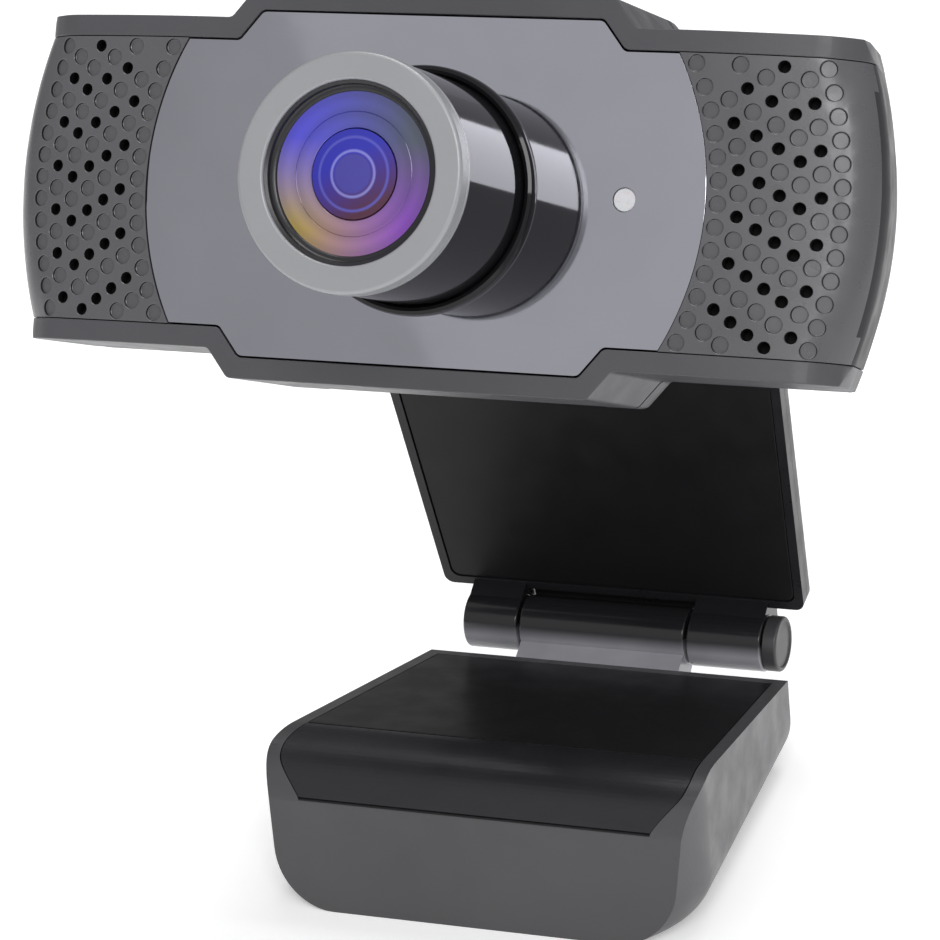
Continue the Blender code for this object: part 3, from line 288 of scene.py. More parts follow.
def moulded(name, colour, roughness, grain=2600.0, depth=0.000012, spread=0.06, sheen=0.5):
    """Moulded plastic: fine spark-eroded grain, faint flow marks and handling wear."""
    nodes = Nodes(name)
    flow = nodes.noise(38.0, 4.0)
    fine = nodes.noise(grain, 2.0)
    rub = nodes.noise(260.0, 5.0)
    nodes.set(Base_Color=nodes.mix(nodes.span(flow, 0.0, 1.0), scaled(colour, 0.93), scaled(colour, 1.08)),
              Roughness=nodes.span(rub, roughness - spread, roughness + spread, 0.35, 0.65),
              Normal=nodes.bump(fine, depth), Specular_IOR_Level=sheen)
    return nodes.material


def polished(name, colour, roughness, metallic=0.0, sheen=0.5):
    """Polished plastic: almost even gloss, with faint ripples and hairlines."""
    nodes = Nodes(name)
    ripple = nodes.noise(90.0, 2.0)
    hair = nodes.noise(900.0, 3.0, nodes.mapped(scale=(0.12, 1.0, 1.0), turn=(0.0, 0.4, 0.7)))
    nodes.set(Base_Color=nodes.mix(nodes.span(ripple, 0.0, 1.0), scaled(colour, 0.97), scaled(colour, 1.03)),
              Roughness=nodes.span(hair, roughness, roughness * 1.6, 0.45, 0.75),
              Normal=nodes.bump(ripple, 0.0000015), Metallic=metallic, Specular_IOR_Level=sheen)
    return nodes.material


def hinge_gloss_painted_reflection(name, colour):
    """Glossy plastic of the hinge, paler on its underside: a painted reflection of the pale floor below it.
    """
    nodes = Nodes(name)
    split = nodes.add("ShaderNodeSeparateXYZ")
    nodes.feed(split.inputs[0], nodes.place)
    axis = JOINTS["clip_hinge"]["pos_m"][2]
    # Painted reflection: below the hinge axis the colour turns pale grey, standing in for the floor mirrored
    # in the gloss.
    under = nodes.span(split.outputs["Z"], 1.0, 0.0, axis - 0.0006, axis + 0.0010)
    cloud = nodes.noise(120.0, 3.0)
    pale = nodes.mix(nodes.span(cloud, 0.0, 1.0), (0.34, 0.34, 0.37), (0.42, 0.42, 0.45))
    nodes.set(Base_Color=nodes.mix(under, colour, pale), Roughness=nodes.span(cloud, 0.14, 0.2))
    return nodes.material


def metal(name, colour, roughness):
    """Drawn or plated metal with fine lines."""
    nodes = Nodes(name)
    lines = nodes.noise(3200.0, 3.0, nodes.mapped(scale=(1.0, 1.0, 0.06)))
    tone = nodes.noise(300.0, 3.0)
    nodes.set(Base_Color=nodes.mix(nodes.span(tone, 0.0, 1.0), scaled(colour, 0.85), scaled(colour, 1.1)),
              Roughness=nodes.span(lines, roughness * 0.8, roughness * 1.3),
              Normal=nodes.bump(lines, 0.000004), Metallic=1.0)
    return nodes.material


def brushed_ring(name, colour):
    """Satin lacquer on the focus ring, with a soft sparkle."""
    nodes = Nodes(name)
    fleck = nodes.noise(5200.0, 1.0)
    tone = nodes.noise(60.0, 2.0)
    nodes.set(Base_Color=nodes.mix(nodes.span(tone, 0.0, 1.0), scaled(colour, 0.97), scaled(colour, 1.03)),
              Roughness=nodes.span(fleck, 0.32, 0.46), Normal=nodes.bump(fleck, 0.000003), Metallic=0.25)
    return nodes.material


def lens_place(nodes):
    """Places seen from the lens axis, in millimetres: across, up and away from it."""
    node = nodes.add("ShaderNodeMapping", vector_type='TEXTURE')
    nodes.feed(node.inputs["Vector"], nodes.place)
    node.inputs["Location"].default_value = HEAD.translation
    node.inputs["Rotation"].default_value = HEAD.to_euler()
    node.inputs["Scale"].default_value = (MM, MM, MM)
    split = nodes.add("ShaderNodeSeparateXYZ")
    nodes.feed(split.inputs[0], node.outputs["Vector"])
    across, _, up = split.outputs
    squares = [nodes.math('MULTIPLY', way, way) for way in (across, up)]
    return across, up, nodes.math('SQRT', nodes.math('ADD', *squares))


def coated(name):
    """Anti-reflection coatings, their coloured reflections painted in by place: blue above left, amber
    below, violet and green on the right.
    """
    nodes = Nodes(name)
    across, up, far = lens_place(nodes)
    reach = 8.0
    east = nodes.span(across, 0.0, 1.0, -reach * 0.8, reach * 0.8)
    north = nodes.span(up, 0.0, 1.0, -reach * 0.75, reach * 0.45)
    blue = (0.09, 0.08, 0.75)
    amber = (0.50, 0.36, 0.02)
    violet = (0.30, 0.06, 0.62)
    green = (0.10, 0.12, 0.16)
    # Painted reflection: the coating's hues are set by position round the lens axis.
    above = nodes.mix(east, blue, green)
    below = nodes.mix(east, amber, violet)
    wave = nodes.span(nodes.math('SINE', nodes.math('MULTIPLY', far, 3.2)), 0.0, 0.22, -1.0, 1.0)
    dust = nodes.noise(4000.0, 2.0)
    colour = nodes.mix(wave, nodes.mix(north, below, above), (0.02, 0.02, 0.05))
    nodes.set(Base_Color=colour, Roughness=nodes.span(dust, 0.12, 0.22), Normal=nodes.bump(dust, 0.000001),
              Metallic=0.55, Coat_Weight=1.0, Coat_Roughness=0.02)
    return nodes.material


def deep_disc(name, disc):
    """The deep blue front element with painted light: bright above left, shading to dark red below, with
    fine rings.
    """
    nodes = Nodes(name)
    across, up, far = lens_place(nodes)
    # Painted light: the disc is brightened towards the upper left and darkened towards the bottom.
    painted_light_slope = nodes.math('SUBTRACT', nodes.math('MULTIPLY', up, 0.8), nodes.math('MULTIPLY', across, 0.45))
    high = nodes.span(painted_light_slope, 0.0, 1.0, -disc * 0.75, disc * 0.35)
    colour = nodes.mix(high, (0.07, 0.006, 0.035), (0.01, 0.012, 0.42))
    for radius, tint in ((disc * 0.8, (0.10, 0.10, 0.55)), (disc * 0.5, (0.28, 0.28, 0.75))):
        near = nodes.math('ABSOLUTE', nodes.math('SUBTRACT', far, radius))
        colour = nodes.mix(nodes.span(near, 0.75, 0.0, 0.05, 0.22), colour, tint)
    inside = nodes.span(far, 1.0, 0.0, disc * 0.40, disc * 0.46)
    colour = nodes.mix(inside, colour, (0.05, 0.04, 0.34))
    dust = nodes.noise(4000.0, 2.0)
    nodes.set(Base_Color=colour, Roughness=nodes.span(dust, 0.05, 0.12), Metallic=0.3, Coat_Weight=1.0,
              Coat_Roughness=0.02)
    return nodes.material


def glowing(name, colour):
    """Milky plastic that spreads the status light."""
    nodes = Nodes(name)
    cloud = nodes.noise(1500.0, 2.0)
    nodes.set(Base_Color=nodes.mix(nodes.span(cloud, 0.0, 1.0), scaled(colour, 0.94), colour),
              Roughness=nodes.span(cloud, 0.25, 0.4), Subsurface_Weight=0.2, Subsurface_Scale=MM)
    return nodes.material


def board_lacquer(name, colour):
    """Solder mask with faint copper lines beneath."""
    nodes = Nodes(name)
    brick = nodes.add("ShaderNodeTexBrick")
    nodes.feed(brick.inputs["Vector"], nodes.mapped(scale=(420.0, 420.0, 420.0), turn=(math.pi / 2, 0, 0)))
    brick.inputs["Mortar Size"].default_value = 0.04
    nodes.set(Base_Color=nodes.mix(brick.outputs["Fac"], colour, scaled(colour, 1.6)),
              Roughness=nodes.span(nodes.noise(900.0), 0.3, 0.42),
              Normal=nodes.bump(brick.outputs["Fac"], 0.00003))
    return nodes.material


# -------------------------------------------------------------- solids, in mm
FRONT_VIEW = Matrix(((1, 0, 0), (0, 0, 1), (0, 1, 0))).to_4x4()
SIDE_VIEW = Matrix(((0, 0, 1), (1, 0, 0), (0, 1, 0))).to_4x4()
TOP_VIEW = Matrix.Identity(4)
VIEWS = {'X': SIDE_VIEW, 'Y': FRONT_VIEW, 'Z': TOP_VIEW}
WELD = 0.002


def outwards(bm):
    """The solid with its faces turned outwards."""
    bmesh.ops.recalc_face_normals(bm, faces=bm.faces)
    if bm.calc_volume(signed=True) < 0:
        bmesh.ops.reverse_faces(bm, faces=bm.faces)
    return bm


def as_mesh(bm, cleaned=False):
    """A mesh of the solid, in triangles if it is to be cut."""
    mesh = bpy.data.meshes.new("solid")
    if cleaned:
        bmesh.ops.dissolve_degenerate(bm, dist=WELD / 2, edges=bm.edges)
        bmesh.ops.triangulate(bm, faces=bm.faces)
    outwards(bm).to_mesh(mesh)
    bm.free()
    return mesh


def evaluated(item):
    """The final mesh of a temporary object, which is removed."""
    bpy.context.scene.collection.objects.link(item)
    graph = bpy.context.evaluated_depsgraph_get()
    mesh = bpy.data.meshes.new_from_object(item.evaluated_get(graph))
    bpy.data.objects.remove(item, do_unlink=True)
    return mesh


def opened(mesh):
    """A mesh opened for editing."""
    bm = bmesh.new()
    bm.from_mesh(mesh)
    return bm


def prism(loops, low, high, view):
    """An outline, with any holes as further loops, drawn out from low to high."""
    curve = bpy.data.curves.new("outline", 'CURVE')
    curve.dimensions = '2D'
    curve.fill_mode = 'BOTH'
    curve.extrude = (high - low) / 2
    for loop in loops:
        spline = curve.splines.new('POLY')
        spline.points.add(len(loop) - 1)
        for point, (a, b) in zip(spline.points, loop):
            point.co = (a, b, 0.0, 1.0)
        spline.use_cyclic_u = True
    bm = opened(evaluated(bpy.data.objects.new("outline", curve)))
    bmesh.ops.remove_doubles(bm, verts=bm.verts, dist=WELD)
    bmesh.ops.dissolve_limit(bm, angle_limit=math.radians(1), verts=bm.verts, edges=bm.edges)
    bmesh.ops.translate(bm, verts=bm.verts, vec=(0, 0, (high + low) / 2))
    bm.transform(view)
    return bm


def turned(profile, along='Y', at=(0.0, 0.0), steps=96):
    """A closed profile of (radius, position) points turned round an axis."""
    mesh = bpy.data.meshes.new("profile")
    on_axis = profile[0][0] < WELD and profile[-1][0] < WELD
    count = len(profile)
    links = [(i, (i + 1) % count) for i in range(count - (1 if on_axis else 0))]
    mesh.from_pydata([(radius, 0.0, place) for radius, place in profile], links, [])
    item = bpy.data.objects.new("profile", mesh)
    screw = item.modifiers.new("turn", 'SCREW')
    screw.steps = steps
    screw.render_steps = steps
    screw.use_merge_vertices = True
    screw.merge_threshold = 0.0001
    bm = opened(evaluated(item))
    bmesh.ops.translate(bm, verts=bm.verts, vec=(at[0], at[1], 0))
    bm.transform(VIEWS[along])
    return bm


def rod(radius, low, high, along, at=(0.0, 0.0), steps=48, soft=0.0):
    """A cylinder with softened rims."""
    if soft:
        edge = arc((radius - soft, soft), soft, -QUARTER, 0.0, 4)
        profile = [(0, low)] + [(r, low + p) for r, p in edge] + [(r, high - p) for r, p in edge[::-1]]
        return turned(profile + [(0, high)], along, at, steps)
    return turned([(0, low), (radius, low), (radius, high), (0, high)], along, at, steps)


def box(x, y, z):
    """A block between two ends along each axis."""
    bm = bmesh.new()
    bmesh.ops.create_cube(bm, size=1.0)
    bmesh.ops.scale(bm, verts=bm.verts, vec=(x[1] - x[0], y[1] - y[0], z[1] - z[0]))
    bmesh.ops.translate(bm, verts=bm.verts, vec=((x[0] + x[1]) / 2, (y[0] + y[1]) / 2, (z[0] + z[1]) / 2))
    return bm


def without(first, second):
    """The first solid with the second cut away."""
    base = bpy.data.objects.new("base", as_mesh(first, True))
    tool = bpy.data.objects.new("tool", as_mesh(second, True))
    bpy.context.scene.collection.objects.link(tool)
    modifier = base.modifiers.new("cut", 'BOOLEAN')
    modifier.operation = 'DIFFERENCE'
    modifier.solver = 'MANIFOLD'
    modifier.object = tool
    mesh = evaluated(base)
    bpy.data.objects.remove(tool, do_unlink=True)
    bm = opened(mesh)
    bmesh.ops.remove_doubles(bm, verts=bm.verts, dist=WELD / 4)
    bmesh.ops.dissolve_limit(bm, angle_limit=math.radians(0.5), verts=bm.verts, edges=bm.edges)
    return bm


def cut(first, *others):
    for other in others:
        first = without(first, other)
    return first


def together(*parts):
    """Several solids kept side by side in one mesh."""
    whole = bmesh.new()
    for part in parts:
        mesh = as_mesh(part)
        whole.from_mesh(mesh)
        bpy.data.meshes.remove(mesh)
    return whole


def softened(bm, width, segments=2, angle=40.0):
    """The solid with its sharp edges rounded off."""
    item = bpy.data.objects.new("soft", as_mesh(bm))
    bevel = item.modifiers.new("soft", 'BEVEL')
    bevel.width = width
    bevel.segments = segments
    bevel.limit_method = 'ANGLE'
    bevel.angle_limit = math.radians(angle)
    bevel.use_clamp_overlap = True
    return opened(evaluated(item))


def piece(name, bm, place, body, look, nodes=(), angle=32.0):
    """Finish a piece: into world coordinates, smooth, on its body, with its finish."""
    outwards(bm)
    bm.transform(place)
    mesh = bpy.data.meshes.new(name)
    bm.to_mesh(mesh)
    bm.free()
    mesh.materials.append(look)
    mesh.shade_smooth()
    mesh.set_sharp_from_angle(angle=math.radians(angle))
    item = bpy.data.objects.new(name, mesh)
    bpy.context.scene.collection.objects.link(item)
    weighted = item.modifiers.new("normals", 'WEIGHTED_NORMAL')
    weighted.keep_sharp = True
    weighted.weight = 60
    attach(item, body)
    if nodes:
        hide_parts(*nodes)
    return item


def arc(centre, radius, start, end, steps):
    """Points along part of a circle."""
    turns = [start + (end - start) * i / steps for i in range(steps + 1)]
    return [(centre[0] + radius * math.cos(t), centre[1] + radius * math.sin(t)) for t in turns]


def filleted(points, radii, steps=6):
    """A line whose inner corners are rounded, each by its own radius."""
    line = [points[0]]
    for before, corner, after, radius in zip(points, points[1:], points[2:], radii):
        here, back, on = Vector(corner), Vector(before), Vector(after)
        into, out = (back - here).normalized(), (on - here).normalized()
        half = into.angle(out) / 2
        reach = radius / math.tan(half)
        middle = here + (into + out).normalized() * (radius / math.sin(half))
        first, last = here + into * reach - middle, here + out * reach - middle
        for i in range(steps + 1):
            share = i / steps
            spoke = first.lerp(last, share).normalized() * radius
            line.append(tuple(middle + spoke))
    return line + [points[-1]]


# ---------------------------------------------------------------- head's forms
def bow(x, head):
    """How far the front has swept back at this distance from the middle."""
    reach = min(abs(x), head.sweep_end) - head.flat_half
    return max(reach, 0.0) ** 2 / (2 * head.sweep)


def taper(x, y, head):
    """How far the wing has drawn in sideways at this depth."""
    back = min(max((y - head.end_round) / (head.depth - head.end_round), 0.0), 1.0)
    outside = max(abs(x) - head.flat_half, 0.0) / (head.end_radius - head.flat_half)
    return math.copysign(head.end_taper * back * outside, x)


def slice_across(bm, direction, places):
    """Cut the faces along planes, so that they can bend there."""
    for place in places:
        geometry = bm.verts[:] + bm.edges[:] + bm.faces[:]
        bmesh.ops.bisect_plane(bm, geom=geometry, dist=0.0001,
                               plane_co=Vector(direction) * place, plane_no=direction)


def swept(bm, head, steps=12):
    """Bend a flat solid so that its wings follow the front's sweep."""
    run = head.sweep_end - head.flat_half
    slice_across(bm, (1, 0, 0), [side * (head.flat_half + run * i / steps)
                                 for i in range(steps + 1) for side in (-1, 1)])
    slice_across(bm, (0, 1, 0), [head.end_round])
    for vert in bm.verts:
        depth = min(max(vert.co.y / head.depth, 0.0), 1.0)
        vert.co.x -= taper(vert.co.x, vert.co.y, head)
        vert.co.y += bow(vert.co.x, head) * (1 - depth)
    return bm


def head_outline(out, end, head, steps=24):
    """The head's front outline moved outwards by out, its bends rounded."""
    fall = head.hump_height - head.wing_height
    run = head.step_half - head.hump_half
    slant = math.hypot(fall, run)
    shift = out * (1 - run / slant) / (fall / slant)
    turn = math.asin((head.wing_height + out) / end)
    top = head.hump_height + out
    wing = head.wing_height + out
    bend = [(0.0, top), (head.hump_half + shift, top), (head.step_half + shift, wing),
            (end * math.cos(turn), wing)]
    upper = filleted(bend, (0.9, 0.9), 5)[1:-1]
    right = upper + arc((0, 0), end, turn, -turn, steps) + [(x, -z) for x, z in upper[::-1]]
    return right + [(-x, -z) for x, z in right]


def band(head, upper):
    """The dark band along the top or the bottom, with its ends rounded."""
    end = math.sqrt(head.end_radius ** 2 - head.wing_height ** 2)
    front = prism([head_outline(head.band, head.end_radius, head)], 0.0, head.depth, FRONT_VIEW)
    pocket = prism([head_outline(0.0, head.end_radius + 20, head)], -5.0, head.depth + 5, FRONT_VIEW)
    bm = cut(front, pocket)
    side = -1 if upper else 1
    bm = cut(bm, box((-80, 80), (-10, 40), sorted((0.0, side * 60.0))))
    for hand in (-1, 1):
        rounded = arc((end - head.end_round, head.end_round), head.end_round, -math.pi / 2, 0.0, 12)
        waste = [(rounded[0][0], -2.0)] + rounded + [(end, 60.0), (end + 9, 60.0), (end + 9, -2.0)]
        waste = [(hand * a, b) for a, b in waste]
        bm = cut(bm, prism([waste], -40.0, 40.0, TOP_VIEW))
    return bm


def build_housing(look, painted_shade_core):
    """The front housing: two bands, the wall behind the panel and the core of the wings."""
    head = settings().head
    bands = []
    for upper in (True, False):
        bm = softened(band(head, upper), 0.35, 3, 35.0)
        bands.append(swept(bm, head))
    piece("head_bands", together(*bands), HEAD, "head", look, ("front_housing",))
    parts = []
    # The core is near-black: painted shade standing in for the dark seen through the grille's holes.
    core = head_outline(0.02, head.end_radius - 4.6, head)
    wall = prism([core, circle(CORE_HOLE, 64)], *CORE_WALL, FRONT_VIEW)
    parts.append(swept(wall, head))
    for side in (-1, 1):
        cheek = box(sorted(side * (head.end_radius - inwards) for inwards in CHEEK), (3.6, head.depth),
                    (-head.wing_height, head.wing_height))
        parts.append(swept(cheek, head))
    piece("head_core", together(*parts), HEAD, "head", painted_shade_core)


def circle(radius, steps, across=0.0):
    """The points of a circle, its middle moved sideways by across."""
    turns = [2 * math.pi * i / steps for i in range(steps)]
    return [(across + radius * math.cos(t), radius * math.sin(t)) for t in turns]


def build_panel(look, clear):
    """The mirror-like front panel, its edge eased, and the status light's window."""
    head, lens = settings().head, settings().lens
    low = head.wing_height - 0.22
    turn = math.asin(low / head.panel_radius)
    bend = [(0.0, head.hump_height - 0.22), (head.hump_half - 0.1, head.hump_height - 0.22),
            (head.step_half - 0.1, low), (head.panel_radius * math.cos(turn), low)]
    upper = filleted(bend, (0.9, 0.9), 5)[1:-1]
    right = upper + arc((0, 0), head.panel_radius, turn, -turn, 32) + [(x, -z) for x, z in upper[::-1]]
    outline = right + [(-x, -z) for x, z in right]
    bore = circle(lens.barrel_radius + 0.15, 128)
    window = circle(head.led_radius + 0.06, 48, head.led_x)
    bm = softened(prism([outline, bore, window], 0.15, PANEL_BACK, FRONT_VIEW), 0.12, 2)
    piece("mirror_panel", swept(bm, head, 16), HEAD, "head", look, ("front_panel",))
    pipe = [(0, 0.2), (head.led_radius - 0.1, 0.2), (head.led_radius, 0.3), (head.led_radius, 4.0),
            (head.led_radius + 0.8, 4.0), (head.led_radius + 0.8, 4.8), (head.led_radius, 4.8),
            (head.led_radius, 6.6), (0, 6.6)]
    piece("status_window", turned(pipe, 'Y', (head.led_x, 0), 48), HEAD, "head", clear,
          ("light_pipe",))


def grille_kind(column, row):
    """0 for a blank place, 1 for a dimple and 2 for a hole that goes through."""
    if column == 1 and row == 0:
        return 0
    if column in (0, COLUMNS - 1):
        return 1
    return 2 if row % 2 == (0 if column in (1, 4) else 1) else 1


def grille_point(u, z, depth, side, head):
    """From the pattern's own plane to the skin: round the lens axis and round the end."""
    edge = head.end_radius - head.end_round
    x = math.sqrt(max(u * u - z * z, 0.0))
    if u > edge:
        turn = min((u - edge) / head.end_round, math.pi / 2)
        reach = edge + (head.end_round - depth) * math.sin(turn)
        back = head.end_round - (head.end_round - depth) * math.cos(turn)
        back += max(u - edge - head.end_round * math.pi / 2, 0.0)
        x = math.sqrt(max(reach * reach - z * z, 0.0))
    else:
        back = depth
    part = min(max(back / head.depth, 0.0), 1.0)
    return side * (x - taper(x, back, head)), back + bow(x, head) * (1 - part), z


def pattern_cell(kind, sizes):
    """One place of the pattern, laid flat as (along, up, depth) about its middle."""
    bm = bmesh.new()
    half, high = sizes.column / 2, sizes.pitch / 2
    corners = ((1, 0), (1, 0.5), (1, 1), (0.5, 1), (0, 1), (-0.5, 1), (-1, 1), (-1, 0.5), (-1, 0),
               (-1, -0.5), (-1, -1), (-0.5, -1), (0, -1), (0.5, -1), (1, -1), (1, -0.5))

    def rim(depth):
        return [bm.verts.new((a * half, b * high, depth)) for a, b in corners]

    def loop(radius, depth):
        return [bm.verts.new((a, b, depth)) for a, b in circle(radius, 16)]

    def skirt(first, second):
        for i in range(16):
            bm.faces.new((first[i - 1], first[i], second[i], second[i - 1]))

    steps = {0: [(0.4, 0.0)],
             1: [(sizes.dimple_radius + 0.07, 0.0), (sizes.dimple_radius, 0.06),
                 (sizes.dimple_radius - 0.05, sizes.dimple_depth - 0.05),
                 (sizes.dimple_radius - 0.13, sizes.dimple_depth)],
             2: [(sizes.hole_radius + 0.06, 0.0), (sizes.hole_radius, 0.06), (sizes.hole_radius, SKIN)]}
    loops = [rim(0.0)] + [loop(radius, depth) for radius, depth in steps[kind]]
    if kind == 2:
        loops.append(rim(SKIN))
    for first, second in zip(loops, loops[1:]):
        skirt(first, second)
    if kind < 2:
        bm.faces.new(loops[-1])
        back = [rim(SKIN), loop(0.4, SKIN)]
        skirt(*back)
        bm.faces.new(back[-1])
    mesh = bpy.data.meshes.new("cell")
    bm.to_mesh(mesh)
    bm.free()
    return bpy.data.objects.new("cell", mesh)


def pattern_tree(look, kinds):
    """Places each kind of cell on the points that carry its number."""
    tree = bpy.data.node_groups.new("grille_pattern", 'GeometryNodeTree')
    tree.interface.new_socket("Geometry", in_out='INPUT', socket_type='NodeSocketGeometry')
    tree.interface.new_socket("Geometry", in_out='OUTPUT', socket_type='NodeSocketGeometry')
    sockets = [tree.interface.new_socket(kind, in_out='INPUT', socket_type='NodeSocketObject')
               for kind in kinds]
    start = tree.nodes.new("NodeGroupInput")
    end = tree.nodes.new("NodeGroupOutput")
    number = tree.nodes.new("GeometryNodeInputNamedAttribute")
    number.data_type = 'INT'
    number.inputs["Name"].default_value = "kind"
    whole = tree.nodes.new("GeometryNodeJoinGeometry")
    for index, kind in enumerate(kinds):
        same = tree.nodes.new("FunctionNodeCompare")
        same.data_type = 'INT'
        same.operation = 'EQUAL'
        info = tree.nodes.new("GeometryNodeObjectInfo")
        put = tree.nodes.new("GeometryNodeInstanceOnPoints")
        whole_number = [item for item in number.outputs if item.enabled and item.name == "Attribute"][0]
        inputs = [item for item in same.inputs if item.enabled and item.name in ("A", "B")]
        tree.links.new(whole_number, inputs[0])
        inputs[1].default_value = index
        tree.links.new(start.outputs[kind], info.inputs["Object"])
        tree.links.new(start.outputs["Geometry"], put.inputs["Points"])
        tree.links.new(same.outputs["Result"], put.inputs["Selection"])
        tree.links.new(info.outputs["Geometry"], put.inputs["Instance"])
        tree.links.new(put.outputs["Instances"], whole.inputs["Geometry"])
    real = tree.nodes.new("GeometryNodeRealizeInstances")
    paint = tree.nodes.new("GeometryNodeSetMaterial")
    paint.inputs["Material"].default_value = look
    tree.links.new(whole.outputs["Geometry"], real.inputs["Geometry"])
    tree.links.new(real.outputs["Geometry"], paint.inputs["Geometry"])
    tree.links.new(paint.outputs["Geometry"], end.inputs["Geometry"])
    return tree, [socket.identifier for socket in sockets]


def placed(points, numbers, prototypes, look):
    """The prototypes on their points, as one plain mesh."""
    mesh = bpy.data.meshes.new("points")
    mesh.from_pydata(points, [], [])
    mark = mesh.attributes.new("kind", 'INT', 'POINT')
    mark.data.foreach_set("value", numbers)
    item = bpy.data.objects.new("points", mesh)
    tree, names = pattern_tree(look, list(prototypes))
    modifier = item.modifiers.new("pattern", 'NODES')
    modifier.node_group = tree
    for name, prototype in zip(names, prototypes.values()):
        modifier[name] = prototype
    bm = opened(evaluated(item))
    for prototype in prototypes.values():
        bpy.data.objects.remove(prototype, do_unlink=True)
    return bm


def pattern(sizes, look):
    """All the cells of one grille, still flat, as (along, up, depth)."""
    points, numbers = [], []
    for column in range(COLUMNS):
        rows = sizes.rows - column % 2
        for row in range(rows):
            points.append((sizes.first + sizes.column * column,
                           sizes.pitch * ((rows - 1) / 2 - row), 0.0))
            numbers.append(grille_kind(column, row))
    cells = {name: pattern_cell(index, sizes) for index, name in enumerate(("Blank", "Dimple", "Hole"))}
    return placed(points, numbers, cells, look)


def grille(side, look):
    """One wing's skin: the pattern, its border, the rounded end and the flank behind it."""
    head, sizes = settings().head, settings().grille
    start, top = head.panel_radius + 0.12, head.wing_height - 0.1
    bm = pattern(sizes, look)
    step = sizes.pitch / 4
    levels = [step * k for k in range(-2 * sizes.rows, 2 * sizes.rows + 1)]
    left = sizes.first - sizes.column / 2
    right = left + sizes.column * COLUMNS
    far = head.end_radius - head.end_round * (1 - math.pi / 2) + (head.depth - 0.8 - head.end_round)
    bends = [right + (far - right) * (i / 18) for i in range(1, 19)]

    def quad(points):
        bm.faces.new([bm.verts.new(point) for point in points])

    for low, high in zip(levels, levels[1:]):
        strip = [right] + bends
        for a, b in zip(strip, strip[1:]):
            for depth in (0.0, SKIN):
                quad(((a, low, depth), (b, low, depth), (b, high, depth), (a, high, depth)))
        for end in (left, far):
            quad(((end, low, 0.0), (end, high, 0.0), (end, high, SKIN), (end, low, SKIN)))
    fields = [left + sizes.column * i / 4 for i in range(4 * COLUMNS + 1)]
    for column in range(1, COLUMNS, 2):
        across = fields[column * 4:column * 4 + 5]
        for a, b in zip(across, across[1:]):
            for low, high in (levels[:2], levels[1:3], levels[-3:-1], levels[-2:]):
                for depth in (0.0, SKIN):
                    quad(((a, low, depth), (b, low, depth), (b, high, depth), (a, high, depth)))
    border = fields + bends
    for a, b in zip(border, border[1:]):
        for level in (levels[0], levels[-1]):
            quad(((a, level, 0.0), (b, level, 0.0), (b, level, SKIN), (a, level, SKIN)))
    bmesh.ops.remove_doubles(bm, verts=bm.verts, dist=0.004)
    # Painted shade: the steep walls of the dimples and holes take the darker recess finish.
    for face in bm.faces:
        middle = face.calc_center_median()
        inside = start + 1 < middle.x < right and abs(middle.y) < top - 0.1
        steep = 0.05 < middle.z < SKIN - 0.05 and abs(face.normal.z) < 0.6
        face.material_index = 1 if inside and steep else 0
    reach = sizes.dimple_radius + 0.1
    for vert in bm.verts:
        u, z, depth = vert.co
        column = round((u - sizes.first) / sizes.column)
        if 0 <= column < COLUMNS:
            shift = 0.5 * (column % 2)
            middle = sizes.first + sizes.column * column
            level = (round(z / sizes.pitch - shift) + shift) * sizes.pitch
            a, b = u - middle, z - level
            if math.hypot(a, b) < reach:
                across = math.sqrt(middle ** 2 - level ** 2)
                u = middle + (across * a + level * b) / middle
        if abs(u - left) < 0.001:
            u = start
        vert.co = grille_point(u, min(max(z, -top), top), depth, side, head)
    return bm


def build_grilles(look, recess, flank):
    """Both perforated wings."""
    for side, hand in ((-1, "left"), (1, "right")):
        item = piece("wing_grille_" + hand, grille(side, look), HEAD, "head", look,
                     ("grille_" + hand,), angle=28.0)
        item.data.materials.append(recess)
        item.data.materials.append(flank)
        # Painted shade: faces turned sideways take the darker flank finish, standing in for the shade on the
        # head's ends.
        for face in item.data.polygons:
            if abs(face.normal.x) > 0.9 and face.material_index == 0 and face.center.y > -0.03:
                face.material_index = 2


def build_rear(look):
    """The tapered rear cover with its screw recesses and the shelf over the neck."""
    head = settings().head
    start, steps = head.depth + 0.3, 14
    end = start + head.rear_depth
    radius = head.end_radius - head.end_taper - 0.6
    bm = prism([head_outline(head.band, radius, head)], start, end, FRONT_VIEW)
    slice_across(bm, (0, 1, 0), [start + head.rear_depth * math.sin(math.pi / 2 * i / steps)
                                 for i in range(1, steps)])
    for vert in bm.verts:
        part = min(max((vert.co.y - start) / head.rear_depth, 0.0), 1.0)
        narrow = 1 - REAR_TAPER * part ** 3
        rounding = REAR_ROUND * (1 - math.sqrt(max(1 - max((part - 0.85) / 0.15, 0.0) ** 2, 0.0)))
        reach = math.hypot(vert.co.x, vert.co.z)
        narrow -= rounding / reach
        vert.co.x *= narrow
        vert.co.z *= narrow
    shelf = SWIVEL_AT.z + 0.35
    tools = [box((-RECESS_HALF, RECESS_HALF), (start - 1, end + 1), (-30, shelf))]
    tools += [rod(SCREW_RECESS, start + 2, end + 1, 'Y', at, 40) for at in SCREW_PLACES]
    tools.append(rod(OUTLET_RECESS, end - 3, end + 1, 'Y', (OUTLET_X, 0), 48))
    piece("rear_shell", softened(cut(bm, *tools), 0.25, 2, 38.0), HEAD, "head", look,
          ("rear_cover",))


def cross_screw(radius, height):
    """A pan-head screw's head with a cross recess, its bearing face at zero, head upwards."""
    dome = [(0, height)] + [(radius * math.sin(t), height - 0.35 + 0.35 * math.cos(t))
                            for t in (math.pi / 2 * i / 6 for i in range(1, 7))] + [(radius, 0), (0, 0)]
    bm = turned(dome, 'Z', (0, 0), 40)
    slot, deep = radius * 0.62, height * 0.55
    for wide, long in ((0.22, slot), (slot, 0.22)):
        bm = cut(bm, box((-wide, wide), (-long, long), (height - deep, height + 1)))
    mesh = as_mesh(bm)
    return bpy.data.objects.new("screw", mesh)


